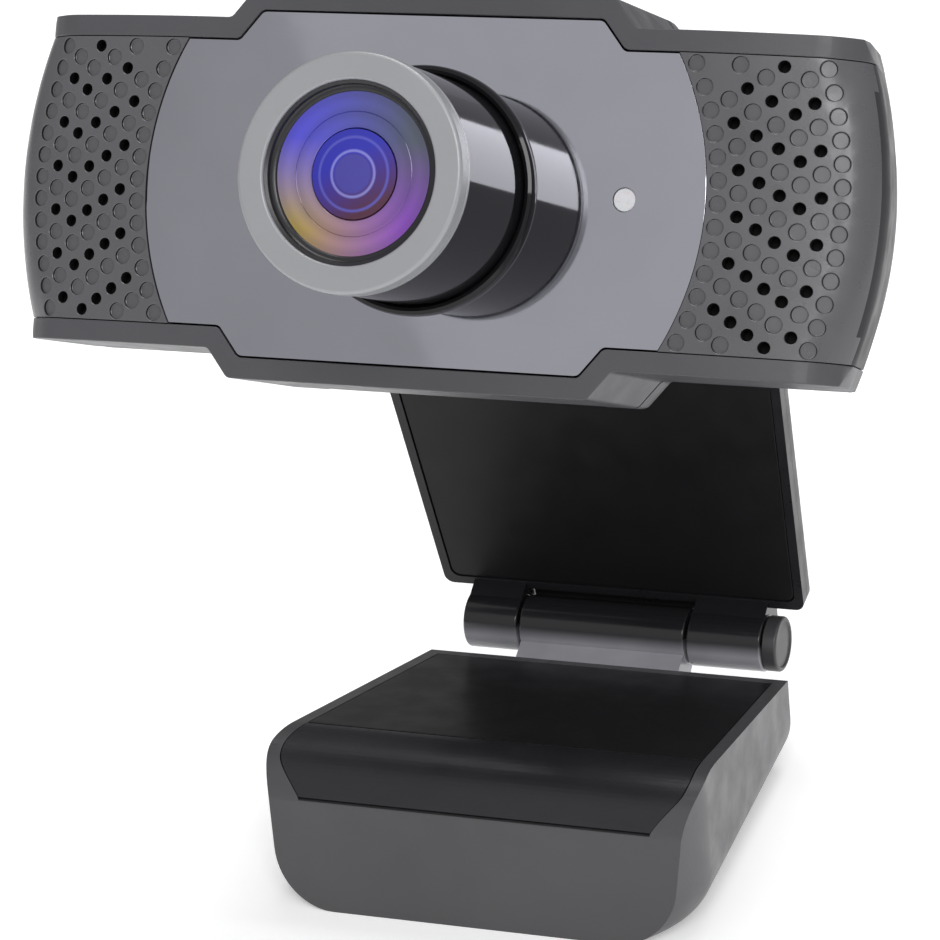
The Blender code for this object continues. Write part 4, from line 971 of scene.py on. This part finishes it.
def build_screws(look):
    """The rear cover's four screws, one prototype placed by a node tree."""
    points = [(x, z, 0.0) for x, z in SCREW_PLACES]
    bm = placed(points, [0] * 4, {"Screw": cross_screw(*SCREW_HEAD)}, look)
    bmesh.ops.translate(bm, verts=bm.verts, vec=(0, 0, settings().head.depth + SCREW_SEAT))
    bm.transform(FRONT_VIEW)
    nodes = [f"cover_screw_{i}" for i in range(1, 5)]
    piece("cover_screws", bm, HEAD, "head", look, nodes)


def build_gland(look):
    """The rubber sleeve where the cord leaves."""
    profile = [(1.9, 28.3), (3.8, 28.3), (4.2, 28.0), (4.4, 27.3), (4.4, 27.05), (2.8, 27.05), (2.8, 24.2),
               (1.9, 24.2)]
    piece("cord_outlet", turned(profile, 'Y', (OUTLET_X, 0), 64), HEAD, "head", look,
          ("cord_gland",))


# ------------------------------------------------------------------ the lens
def build_lens(gloss, silver, dark, coating, blue):
    """Barrel, collar, focus ring and what is seen through its opening."""
    lens = settings().lens
    outer, back = lens.barrel_radius, -lens.barrel_length
    barrel = [(outer, 3.4), (outer, back + 0.12), (outer - 0.12, back), (11.2, back), (11.2, 4.6),
              (15.0, 4.6), (15.0, 3.4)]
    piece("barrel", turned(barrel, steps=160), HEAD, "head", gloss, ("lens_barrel",))
    collar = [(outer + 0.06, 0.1), (outer + 0.06, -0.55), (outer + 0.25, -0.8), (outer + 0.6, -0.86),
              (outer + 0.95, -0.7), (outer + 1.08, -0.35), (outer + 1.1, 0.1)]
    piece("collar", turned(collar, steps=160), HEAD, "head", gloss, ("barrel_collar",))
    rear = back - 0.3
    front = rear - lens.ring_length + 0.08
    big, hole = lens.ring_radius, lens.opening
    profile = arc((hole + 0.3, front + 0.3), 0.3, -2 * QUARTER, -QUARTER, 6)
    profile += arc((big - 0.45, front + 0.45), 0.45, -QUARTER, 0.0, 8)
    profile += [(big, rear - 0.62), (big - 0.16, rear - 0.56), (big - 0.16, rear - 0.36), (big, rear - 0.3),
                (big, rear - 0.05), (big - 0.05, rear), (10.85, rear), (10.85, rear + 7), (9.95, rear + 7),
                (9.95, rear + 0.9), (hole, rear + 0.4)]
    piece("ring", turned(profile, steps=160), HEAD, "focus", silver, ("focus_ring",))
    gap = hole - 0.03
    retainer = [(gap, front + 0.35), (gap, rear), (8.0, rear), (8.6, front + 1.25), (8.75, front + 1.15),
                (9.05, front + 1.1), (9.2, front + 0.95), (9.3, front + 0.5)]
    piece("retainer", turned(retainer, steps=160), HEAD, "focus", dark)
    disc = lens.disc
    annulus = [(8.62, front + 1.35)]
    annulus += [(r, front + 1.35 + 0.32 * ((8.62 - r) / 3.8) ** 1.5) for r in (8.0, 7.4, 6.9, 6.56)]
    annulus += [(6.5, front + 1.57), (6.44, front + 1.53)]
    annulus += [(r, front + 1.35 + 0.32 * ((8.62 - r) / 3.8) ** 1.5) for r in (6.0, 5.5, disc + 0.08)]
    annulus += [(disc, front + 1.75), (disc, rear - 0.2), (8.62, rear - 0.2)]
    piece("coated_glass", turned(annulus, steps=160), HEAD, "focus", coating,
          ("front_glass",))
    dome = [(0, front + 1.25)] + [(disc * 0.98 * i / 10, front + 1.25 + 0.42 * (i / 10) ** 2)
                                  for i in range(1, 11)] + [(disc * 0.98, rear - 0.3), (0, rear - 0.3)]
    piece("inner_disc", turned(dome, steps=128), HEAD, "focus", blue)


# ------------------------------------------------------------------ the stand
def plate_outline(inset, low, high, corner, notch):
    """The plate from the front, with rounded corners and a gap for the neck."""
    stand = settings().stand

    def half(up):
        share = (up - stand.plate_bottom) / (stand.plate_top - stand.plate_bottom)
        return stand.half_bottom + (stand.half_top - stand.half_bottom) * share

    right = arc((half(high) - inset - corner, high - corner), corner, math.pi / 2, 0.0, 14)
    right += arc((half(low) - inset - 1.2, low + 1.2), 1.2, 0.0, -math.pi / 2, 8)
    if notch:
        floor = high - NOTCH_DEPTH
        inner = [(0.0, floor), (notch, floor), (notch, high), (half(high) - inset - corner, high)]
        right = filleted(inner, (0.8, 0.8), 5)[1:-1] + right
    return right + [(-x, z) for x, z in right[::-1]]


def build_plate(look, soft, gloss, matte):
    """The upper plate with its inset pad, the hinge barrels and the ears."""
    stand = settings().stand
    front = stand.plate_face
    back = front + stand.plate_thick
    low, high = stand.plate_bottom, stand.plate_top
    outline = plate_outline(0.0, low, high, 4.0, NOTCH_HALF)
    pad_low, pad_high = low + stand.rim, high - PAD_BELOW_TOP
    hollow = plate_outline(stand.rim, pad_low, pad_high, 2.0, 0)
    slab = softened(prism([outline], front + 1.0, back, FRONT_VIEW), 0.45, 3)
    rim = softened(prism([outline, hollow], front, front + 1.6, FRONT_VIEW), 0.3, 3)
    parts = [slab, rim]
    for side in (-1, 1):
        ends = sorted(side * end for end in EARS)
        parts.append(rod(EAR_RADIUS, *ends, 'X', (PLATE_TILT.y, PLATE_TILT.z), 64, 0.4))
        parts.append(softened(box(ends, (front + 0.25, back - 0.25), (high - 3, PLATE_TILT.z)), 0.3, 2))
    parts.append(softened(box((-12.4, 9.7), (back - 1.9, back - 0.8), (0.6, low + 1.5)), 0.3, 2))
    piece("upper_plate", together(*parts), CLIP, "clip", look, ("clip_plate",))
    pad = plate_outline(stand.rim + 0.12, pad_low + 0.12, pad_high - 0.12, 1.9, 0)
    piece("upper_pad", softened(prism([pad], front + 0.12, front + 1.0, FRONT_VIEW), 0.15, 2), CLIP, "clip",
          soft, ("plate_pad",))
    barrels = []
    for ends in KNUCKLES:
        barrels.append(rod(stand.knuckle, *ends, 'X', (0, 0), 96, 0.25))
        web = [(0.0, -3.4), (back - 1.2, 0.0), (back - 0.3, low + 1), (front + 0.5, low + 1), (0.0, 3.4)]
        barrels.append(prism([web], ends[0] + 0.1, ends[1] - 0.1, SIDE_VIEW))
    piece("hinge_barrels", together(*barrels), CLIP, "clip", gloss)
    near, far = CAP_ENDS
    cap = [(0, near), (CAP_RADIUS, near)] + arc((CAP_RADIUS - 0.35, far - 0.35), 0.35, 0.0, QUARTER, 6)
    cap += [(2.9, far), (2.7, far - 0.2), (0, far - 0.2)]
    piece("hinge_end_cap", turned(cap, 'X', (0, 0), 72), CLIP, "clip", matte, ("hinge_cap",))


def roll_off(steps):
    """From the crease over the rounded front to the lip, as (y, z) points."""
    bend = (4.0, CREASE[1] + (CREASE[0] - 4.0) * PAD_SLOPE)
    points = []
    for i in range(steps + 1):
        t = i / steps
        parts = ((1 - t) ** 2, 2 * t * (1 - t), t ** 2)
        ends = (CREASE, bend, LIP)
        points.append(tuple(sum(p * e[k] for p, e in zip(parts, ends)) for k in (0, 1)))
    return points


def deeper(points, depth):
    """The same line moved down into the foot by depth."""
    moved = []
    for i, (y, z) in enumerate(points):
        before = points[max(i - 1, 0)]
        after = points[min(i + 1, len(points) - 1)]
        dy, dz = after[0] - before[0], after[1] - before[1]
        length = math.hypot(dy, dz)
        moved.append((y - dz / length * depth, z + dy / length * depth))
    return moved


def foot_half(y, stand):
    """Half the foot's width at this distance from its front."""
    share = (HEEL[0] - y) / HEEL[0]
    half = stand.foot_rear + (stand.foot_front - stand.foot_rear) * share
    return half - stand.foot_narrow * (max(NARROW_FROM - y, 0.0) / NARROW_FROM) ** 2


def across_foot(loop, inset, stand, lip=0.0):
    """A side outline drawn across the foot, narrower again by lip at the front edge."""
    bm = prism([loop], -stand.foot_rear, stand.foot_rear, SIDE_VIEW)
    slice_across(bm, (0, 1, 0), FOOT_SLICES[1:])
    for vert in bm.verts:
        near = min(max(LIP_FROM - vert.co.y, 0.0) / LIP_RUN, 1.0)
        vert.co.x = math.copysign(foot_half(vert.co.y, stand) - inset - lip * near ** 2, vert.co.x)
    return bm


def trough(stand):
    """A bar as long and as wide as the foot, with its lower edges rounded."""
    half, radius = stand.foot_rear, stand.foot_round
    right = [(half, 22.0)] + arc((half - radius, radius), radius, 0.0, -math.pi / 2, 16)
    bm = prism([right + [(-x, z) for x, z in right[::-1]]], -2.0, stand.foot_length + 2, FRONT_VIEW)
    slice_across(bm, (0, 1, 0), FOOT_SLICES)
    for vert in bm.verts:
        inwards = half - abs(vert.co.x)
        vert.co.x = math.copysign(foot_half(vert.co.y, stand) - inwards, vert.co.x)
    return bm


def around_foot(top, stand):
    """What lies in front of, above and behind the foot's side outline."""
    reach, low = 40.0, -5.0
    rear = stand.foot_length - (stand.foot_length - HEEL[0]) * low / HEEL[1]
    front = LIP[0] * low / LIP[1]
    loop = [(rear, low)] + top + [(front, low), (-reach, low), (-reach, reach),
                                  (stand.foot_length + reach, reach), (stand.foot_length + reach, low)]
    return prism([loop], -reach, reach, SIDE_VIEW)


def build_foot(look, soft, grained, gloss):
    """The foot: a tray with a flat pad behind and a rolled one in front."""
    stand = settings().stand
    wall = stand.foot_wall
    roll = roll_off(20)
    top = [HEEL] + roll
    body = softened(cut(trough(stand), around_foot(top, stand)), 0.3, 2, 35.0)
    deep = deeper(top, 1.55)
    inner = [(HEEL[0] - wall, 16.0), (HEEL[0] - wall, deep[0][1])] + deep[1:-3]
    edge = LIP[1] + 0.25
    inner += [(LIP[0] + wall, deep[-4][1] - 0.6), (LIP[0] + wall, edge), (-2.0, edge), (-2.0, 23.0)]
    body = cut(body, across_foot(inner, wall, stand, stand.lip_narrow))
    piece("foot_shell", body, FOOT, "foot", look, ("foot_housing",))
    near = wall + 0.15
    flat = [(HEEL[0] - near, HEEL[1] + near * PAD_SLOPE), (CREASE[0] + 0.15, CREASE[1] - 0.15 * PAD_SLOPE)]
    under = deeper(flat, 1.5)
    pad = softened(across_foot(flat + under[::-1], near, stand), 0.2, 2, 40.0)
    piece("rear_pad", pad, FOOT, "foot", soft, ("foot_pad_rear",))
    front = [point for point in roll if point[1] > 12.9]
    front[0] = (CREASE[0] - 0.15, CREASE[1])
    under = deeper(front, 1.5)
    pad = softened(across_foot(front + under[::-1], near, stand, stand.lip_narrow), 0.2, 2, 50.0)
    piece("front_pad", pad, FOOT, "foot", grained, ("foot_pad_front",))
    axis = (HINGE_IN_FOOT.y, HINGE_IN_FOOT.z)
    middle = rod(stand.knuckle, *FOOT_KNUCKLE, 'X', axis, 96, 0.25)
    web = [(46.5, 5.2), (axis[0], axis[1] - 3.4), (axis[0] + 1, axis[1]), (axis[0], axis[1] + 1),
           (46.5, 11.2)]
    web = prism([web], FOOT_KNUCKLE[0] + 0.1, FOOT_KNUCKLE[1] - 0.1, SIDE_VIEW)
    piece("foot_barrel", together(middle, web), FOOT, "foot", gloss)


# ------------------------------------------------------------------- finishes
def look_book():
    """Every finish used on the pieces, by a short name."""
    paint = settings().finish
    return {
        "housing": moulded("housing", paint.housing, 0.42),
        # Painted shade: the core is the housing's plastic darkened almost to black, for the dark seen
        # through the grille's holes.
        "core": moulded("core", scaled(paint.housing, 0.08), 0.9),
        "wings": moulded("wings", paint.wings, 0.3, depth=0.000006, sheen=0.6),
        "mirror": polished("mirror", paint.mirror, 0.035, 1.0),
        "gloss": polished("gloss", paint.gloss, 0.05, sheen=0.3),
        # Painted shade: the flank finish is the wings' plastic darkened for the head's sideways-facing ends.
        "flank": moulded("flank", scaled(paint.wings, 0.45), 0.42, sheen=0.12),
        # Painted shade: the recess finish is the wings' plastic darkened for the walls of the dimples and
        # holes.
        "recess": moulded("recess", scaled(paint.wings, 0.12), 0.6, sheen=0.2),
        "ring": brushed_ring("ring", paint.ring),
        "dark": moulded("dark", (0.012, 0.012, 0.014), 0.3, depth=0.000004),
        "coating": coated("coating"),
        "disc": deep_disc("disc", settings().lens.disc),
        "stand": moulded("stand", paint.stand, 0.32, depth=0.000006, sheen=0.35),
        # The barrels' pale undersides are a painted reflection of the floor.
        "barrels": hinge_gloss_painted_reflection("barrels", paint.stand),
        "foot": moulded("foot", paint.foot, 0.4),
        "pad": moulded("pad", paint.pad, 0.4, 1400.0, 0.000006, 0.04, 0.25),
        "grained": moulded("grained", (0.016, 0.016, 0.019), 0.34, 1700.0, 0.00002, 0.04, 0.4),
        "steel": metal("steel", paint.steel, 0.3),
        "rubber": moulded("rubber", paint.rubber, 0.7, 1500.0, 0.00002),
        "window": glowing("window", (0.62, 0.62, 0.64)),
        "board": board_lacquer("board", (0.012, 0.09, 0.045)),
        "chip": moulded("chip", (0.015, 0.015, 0.016), 0.5),
        "header": moulded("header", (0.55, 0.53, 0.46), 0.5),
        "brass": metal("brass", (0.62, 0.46, 0.2), 0.28),
        "glass": polished("glass", (0.03, 0.03, 0.06), 0.02),
    }


INSIDE = {
    "board": ("main_board",),
    "chip": ("processor", "image_sensor", "lens_holder", "lens_cell", "lens_baffle"),
    "header": ("cord_header",),
    "steel": ("board_screw_1", "board_screw_2", "holder_screw_1", "holder_screw_2", "swivel_screw",
              "swivel_washer", "hinge_pin", "tilt_pin", "mic_left", "mic_right"),
    "rubber": ("mic_boot_left", "mic_boot_right"),
    "brass": ("tripod_insert",),
    "glass": ("front_element", "rear_element", "ir_filter"),
    "window": ("status_led",),
    "housing": ("neck",),
}
LOOKS = {}


def finish(name):
    """One finish, made once and then shared."""
    if not LOOKS:
        LOOKS.update(look_book())
    return LOOKS[name]


# -------------------------------------------------------------------- operators
class WEBCAM_OT_housing(bpy.types.Operator):
    """Build the dark bands, the core behind them and the rear cover"""
    bl_idname = "webcam.housing"
    bl_label = "Housing"

    def execute(self, context):
        build_housing(finish("housing"), finish("core"))
        build_rear(finish("housing"))
        build_screws(finish("steel"))
        build_gland(finish("rubber"))
        return {'FINISHED'}


class WEBCAM_OT_panel(bpy.types.Operator):
    """Build the mirror-like front panel and the status window in it"""
    bl_idname = "webcam.panel"
    bl_label = "Front Panel"

    def execute(self, context):
        build_panel(finish("mirror"), finish("window"))
        return {'FINISHED'}


class WEBCAM_OT_grilles(bpy.types.Operator):
    """Build the two perforated wings"""
    bl_idname = "webcam.grilles"
    bl_label = "Grilles"

    def execute(self, context):
        build_grilles(finish("wings"), finish("recess"), finish("flank"))
        return {'FINISHED'}


class WEBCAM_OT_lens(bpy.types.Operator):
    """Build the lens barrel, the focus ring and the coated glass"""
    bl_idname = "webcam.lens"
    bl_label = "Lens"

    def execute(self, context):
        build_lens(finish("gloss"), finish("ring"), finish("dark"), finish("coating"), finish("disc"))
        return {'FINISHED'}


class WEBCAM_OT_plate(bpy.types.Operator):
    """Build the upper plate, its pad and the hinge barrels"""
    bl_idname = "webcam.plate"
    bl_label = "Upper Plate"

    def execute(self, context):
        build_plate(finish("stand"), finish("pad"), finish("barrels"), finish("foot"))
        return {'FINISHED'}


class WEBCAM_OT_foot(bpy.types.Operator):
    """Build the foot with its two pads"""
    bl_idname = "webcam.foot"
    bl_label = "Foot"

    def execute(self, context):
        build_foot(finish("foot"), finish("pad"), finish("grained"), finish("barrels"))
        return {'FINISHED'}


class WEBCAM_OT_inside(bpy.types.Operator):
    """Give the working model's own parts their finishes"""
    bl_idname = "webcam.inside"
    bl_label = "Inner Parts"

    def execute(self, context):
        for name, nodes in INSIDE.items():
            for node in nodes:
                item = frame["nodes"][node]
                item.data.materials.clear()
                item.data.materials.append(finish(name))
        return {'FINISHED'}


# ------------------------------------------------------------------------ stage
CAMERA_AT = Vector((172.92, -412.69, 223.33)) * MM
CAMERA_AXES = ((0.92602, 0.36842, -0.08217), (-0.06557, 0.37139, 0.92616), (0.37173, -0.85225, 0.36808))
FOCAL = 159.53


def area_light(name, at, aim, size, power, tall=None):
    """A soft light that faces a point."""
    data = bpy.data.lights.new(name, 'AREA')
    data.shape = 'RECTANGLE'
    data.size = size
    data.size_y = tall or size
    data.energy = power
    item = bpy.data.objects.new(name, data)
    bpy.context.scene.collection.objects.link(item)
    item.location = at
    item.rotation_euler = (Vector(aim) - Vector(at)).to_track_quat('-Z', 'Y').to_euler()
    return item


STREAK_TOP = Vector((-0.5174, -0.9473, 0.6723))
STREAK_LOW = Vector((-0.4556, -1.0265, 0.5593))
STREAK_RIGHT = Vector((-0.3902, -0.9805, 0.6875))
STREAK_WIDE = 0.5


def streak_place(wide):
    """A panel of light whose left edge runs through the two marked points."""
    up = (STREAK_TOP - STREAK_LOW).normalized()
    back = up.cross(STREAK_TOP - STREAK_RIGHT).normalized()
    across = up.cross(back).normalized()
    middle = (STREAK_TOP + STREAK_LOW) / 2
    to_panel = Vector((0.0, -0.024, 0.087)) - middle
    if across.dot(STREAK_RIGHT - STREAK_TOP) < 0:
        across.negate()
    back = across.cross(up)
    if back.dot(to_panel) > 0:
        up.negate()
        back.negate()
    turn = Matrix((across, up, back)).transposed().to_4x4()
    return Matrix.Translation(middle + across * wide / 2) @ turn


def only(name, *items):
    """A collection that a light is kept to."""
    group = bpy.data.collections.new(name)
    for item in items:
        group.objects.link(bpy.data.objects[item])
    return group


def pale_floor():
    """A wide floor that glows a little, so that it stays almost white."""
    mesh = bpy.data.meshes.new("floor")
    mesh.from_pydata([(-6, -6, 0), (6, -6, 0), (6, 6, 0), (-6, 6, 0)], [], [(0, 1, 2, 3)])
    nodes = Nodes("floor")
    cloud = nodes.noise(3.0)
    nodes.set(Base_Color=nodes.mix(cloud, (0.93, 0.93, 0.93), (0.96, 0.96, 0.96)), Roughness=0.8,
              Emission_Color=(1.0, 1.0, 1.0, 1.0), Emission_Strength=0.3)
    mesh.materials.append(nodes.material)
    floor = bpy.data.objects.new("floor", mesh)
    bpy.context.scene.collection.objects.link(floor)
    return floor


def studio_world():
    """White to the camera; to the object, a room that is brighter in front and above."""
    world = bpy.data.worlds.new("studio")
    world.use_nodes = True
    tree = world.node_tree
    path = tree.nodes.new("ShaderNodeLightPath")
    place = tree.nodes.new("ShaderNodeTexCoord")
    facing = tree.nodes.new("ShaderNodeVectorMath")
    facing.operation = 'DOT_PRODUCT'
    facing.inputs[1].default_value = (0.22, -0.74, 0.64)
    soft = tree.nodes.new("ShaderNodeMapRange")
    for name, value in (("From Min", -0.6), ("From Max", 1.0), ("To Min", 0.08), ("To Max", 0.72)):
        soft.inputs[name].default_value = value
    level = tree.nodes.new("ShaderNodeMix")
    level.inputs[3].default_value = 1.0
    sky = tree.nodes["Background"]
    tree.links.new(place.outputs["Generated"], facing.inputs[0])
    tree.links.new(facing.outputs["Value"], soft.inputs["Value"])
    tree.links.new(path.outputs["Is Camera Ray"], level.inputs["Factor"])
    tree.links.new(soft.outputs["Result"], level.inputs[2])
    tree.links.new(level.outputs[0], sky.inputs["Strength"])
    sky.inputs["Color"].default_value = (0.98, 0.98, 1.0, 1.0)
    return world


def studio_lights():
    """Key and top light, a side light on the foot and a streak in the mirror panel."""
    middle, foot, panel = (0.0, 0.0, 0.06), (0.02, 0.0, 0.01), (0.0, -0.024, 0.087)
    key = area_light("key", (0.5, -1.1, 1.0), middle, 0.6, 8.0)
    top = area_light("top", (0.0, 0.25, 0.9), middle, 0.6, 4.0)
    side = area_light("side", (0.55, -0.05, 0.12), foot, 0.3, 2.2, 0.2)
    side.light_linking.receiver_collection = only("lit_from_the_side", "foot_shell")
    streak = area_light("streak", STREAK_LOW, panel, STREAK_WIDE, 0.14, 0.6)
    streak.matrix_world = streak_place(STREAK_WIDE)
    streak.visible_diffuse = False
    streak.light_linking.receiver_collection = only("streaked", "mirror_panel")
    return key, top, side, streak


def front_camera():
    """The camera, to the right of the lens and a little above it."""
    data = bpy.data.cameras.new("camera")
    data.lens = FOCAL
    data.sensor_width = 36.0
    data.clip_start = 0.02
    data.clip_end = 30.0
    camera = bpy.data.objects.new("camera", data)
    bpy.context.scene.collection.objects.link(camera)
    camera.matrix_world = Matrix.Translation(CAMERA_AT) @ Matrix(CAMERA_AXES).transposed().to_4x4()
    return camera


class WEBCAM_OT_stage(bpy.types.Operator):
    """Set up the pale floor, the soft lights and the camera"""
    bl_idname = "webcam.stage"
    bl_label = "Stage"

    def execute(self, context):
        pale_floor()
        context.scene.world = studio_world()
        for light in studio_lights():
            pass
        context.scene.camera = front_camera()
        context.scene.view_settings.view_transform = 'Standard'
        return {'FINISHED'}


class WEBCAM_PT_sidebar(bpy.types.Panel):
    bl_label = "Clip Webcam"
    bl_idname = "WEBCAM_PT_sidebar"
    bl_space_type = 'VIEW_3D'
    bl_region_type = 'UI'
    bl_category = "Webcam"

    def draw(self, context):
        for group_name in ("head", "grille", "lens", "stand", "finish"):
            group = getattr(context.scene.webcam, group_name)
            box_layout = self.layout.box()
            box_layout.label(text=group_name.capitalize())
            for item in group.bl_rna.properties:
                if item.identifier not in {"rna_type", "name"}:
                    box_layout.prop(group, item.identifier)
        for operator in OPERATORS:
            self.layout.operator(operator.bl_idname)


GROUPS = (HeadSizes, GrilleSizes, LensSizes, StandSizes, Finishes, WebcamSettings)
OPERATORS = (WEBCAM_OT_housing, WEBCAM_OT_panel, WEBCAM_OT_grilles, WEBCAM_OT_lens, WEBCAM_OT_plate,
             WEBCAM_OT_foot, WEBCAM_OT_inside, WEBCAM_OT_stage)


def register():
    for cls in (*GROUPS, *OPERATORS, WEBCAM_PT_sidebar):
        bpy.utils.register_class(cls)
    bpy.types.Scene.webcam = PointerProperty(type=WebcamSettings)


def unregister():
    del bpy.types.Scene.webcam
    for cls in reversed((*GROUPS, *OPERATORS, WEBCAM_PT_sidebar)):
        bpy.utils.unregister_class(cls)


def main():
    register()
    for operator in (bpy.ops.webcam.housing, bpy.ops.webcam.panel, bpy.ops.webcam.grilles,
                     bpy.ops.webcam.lens, bpy.ops.webcam.plate, bpy.ops.webcam.foot,
                     bpy.ops.webcam.inside, bpy.ops.webcam.stage):
        operator()


if __name__ == "__main__":
    main()
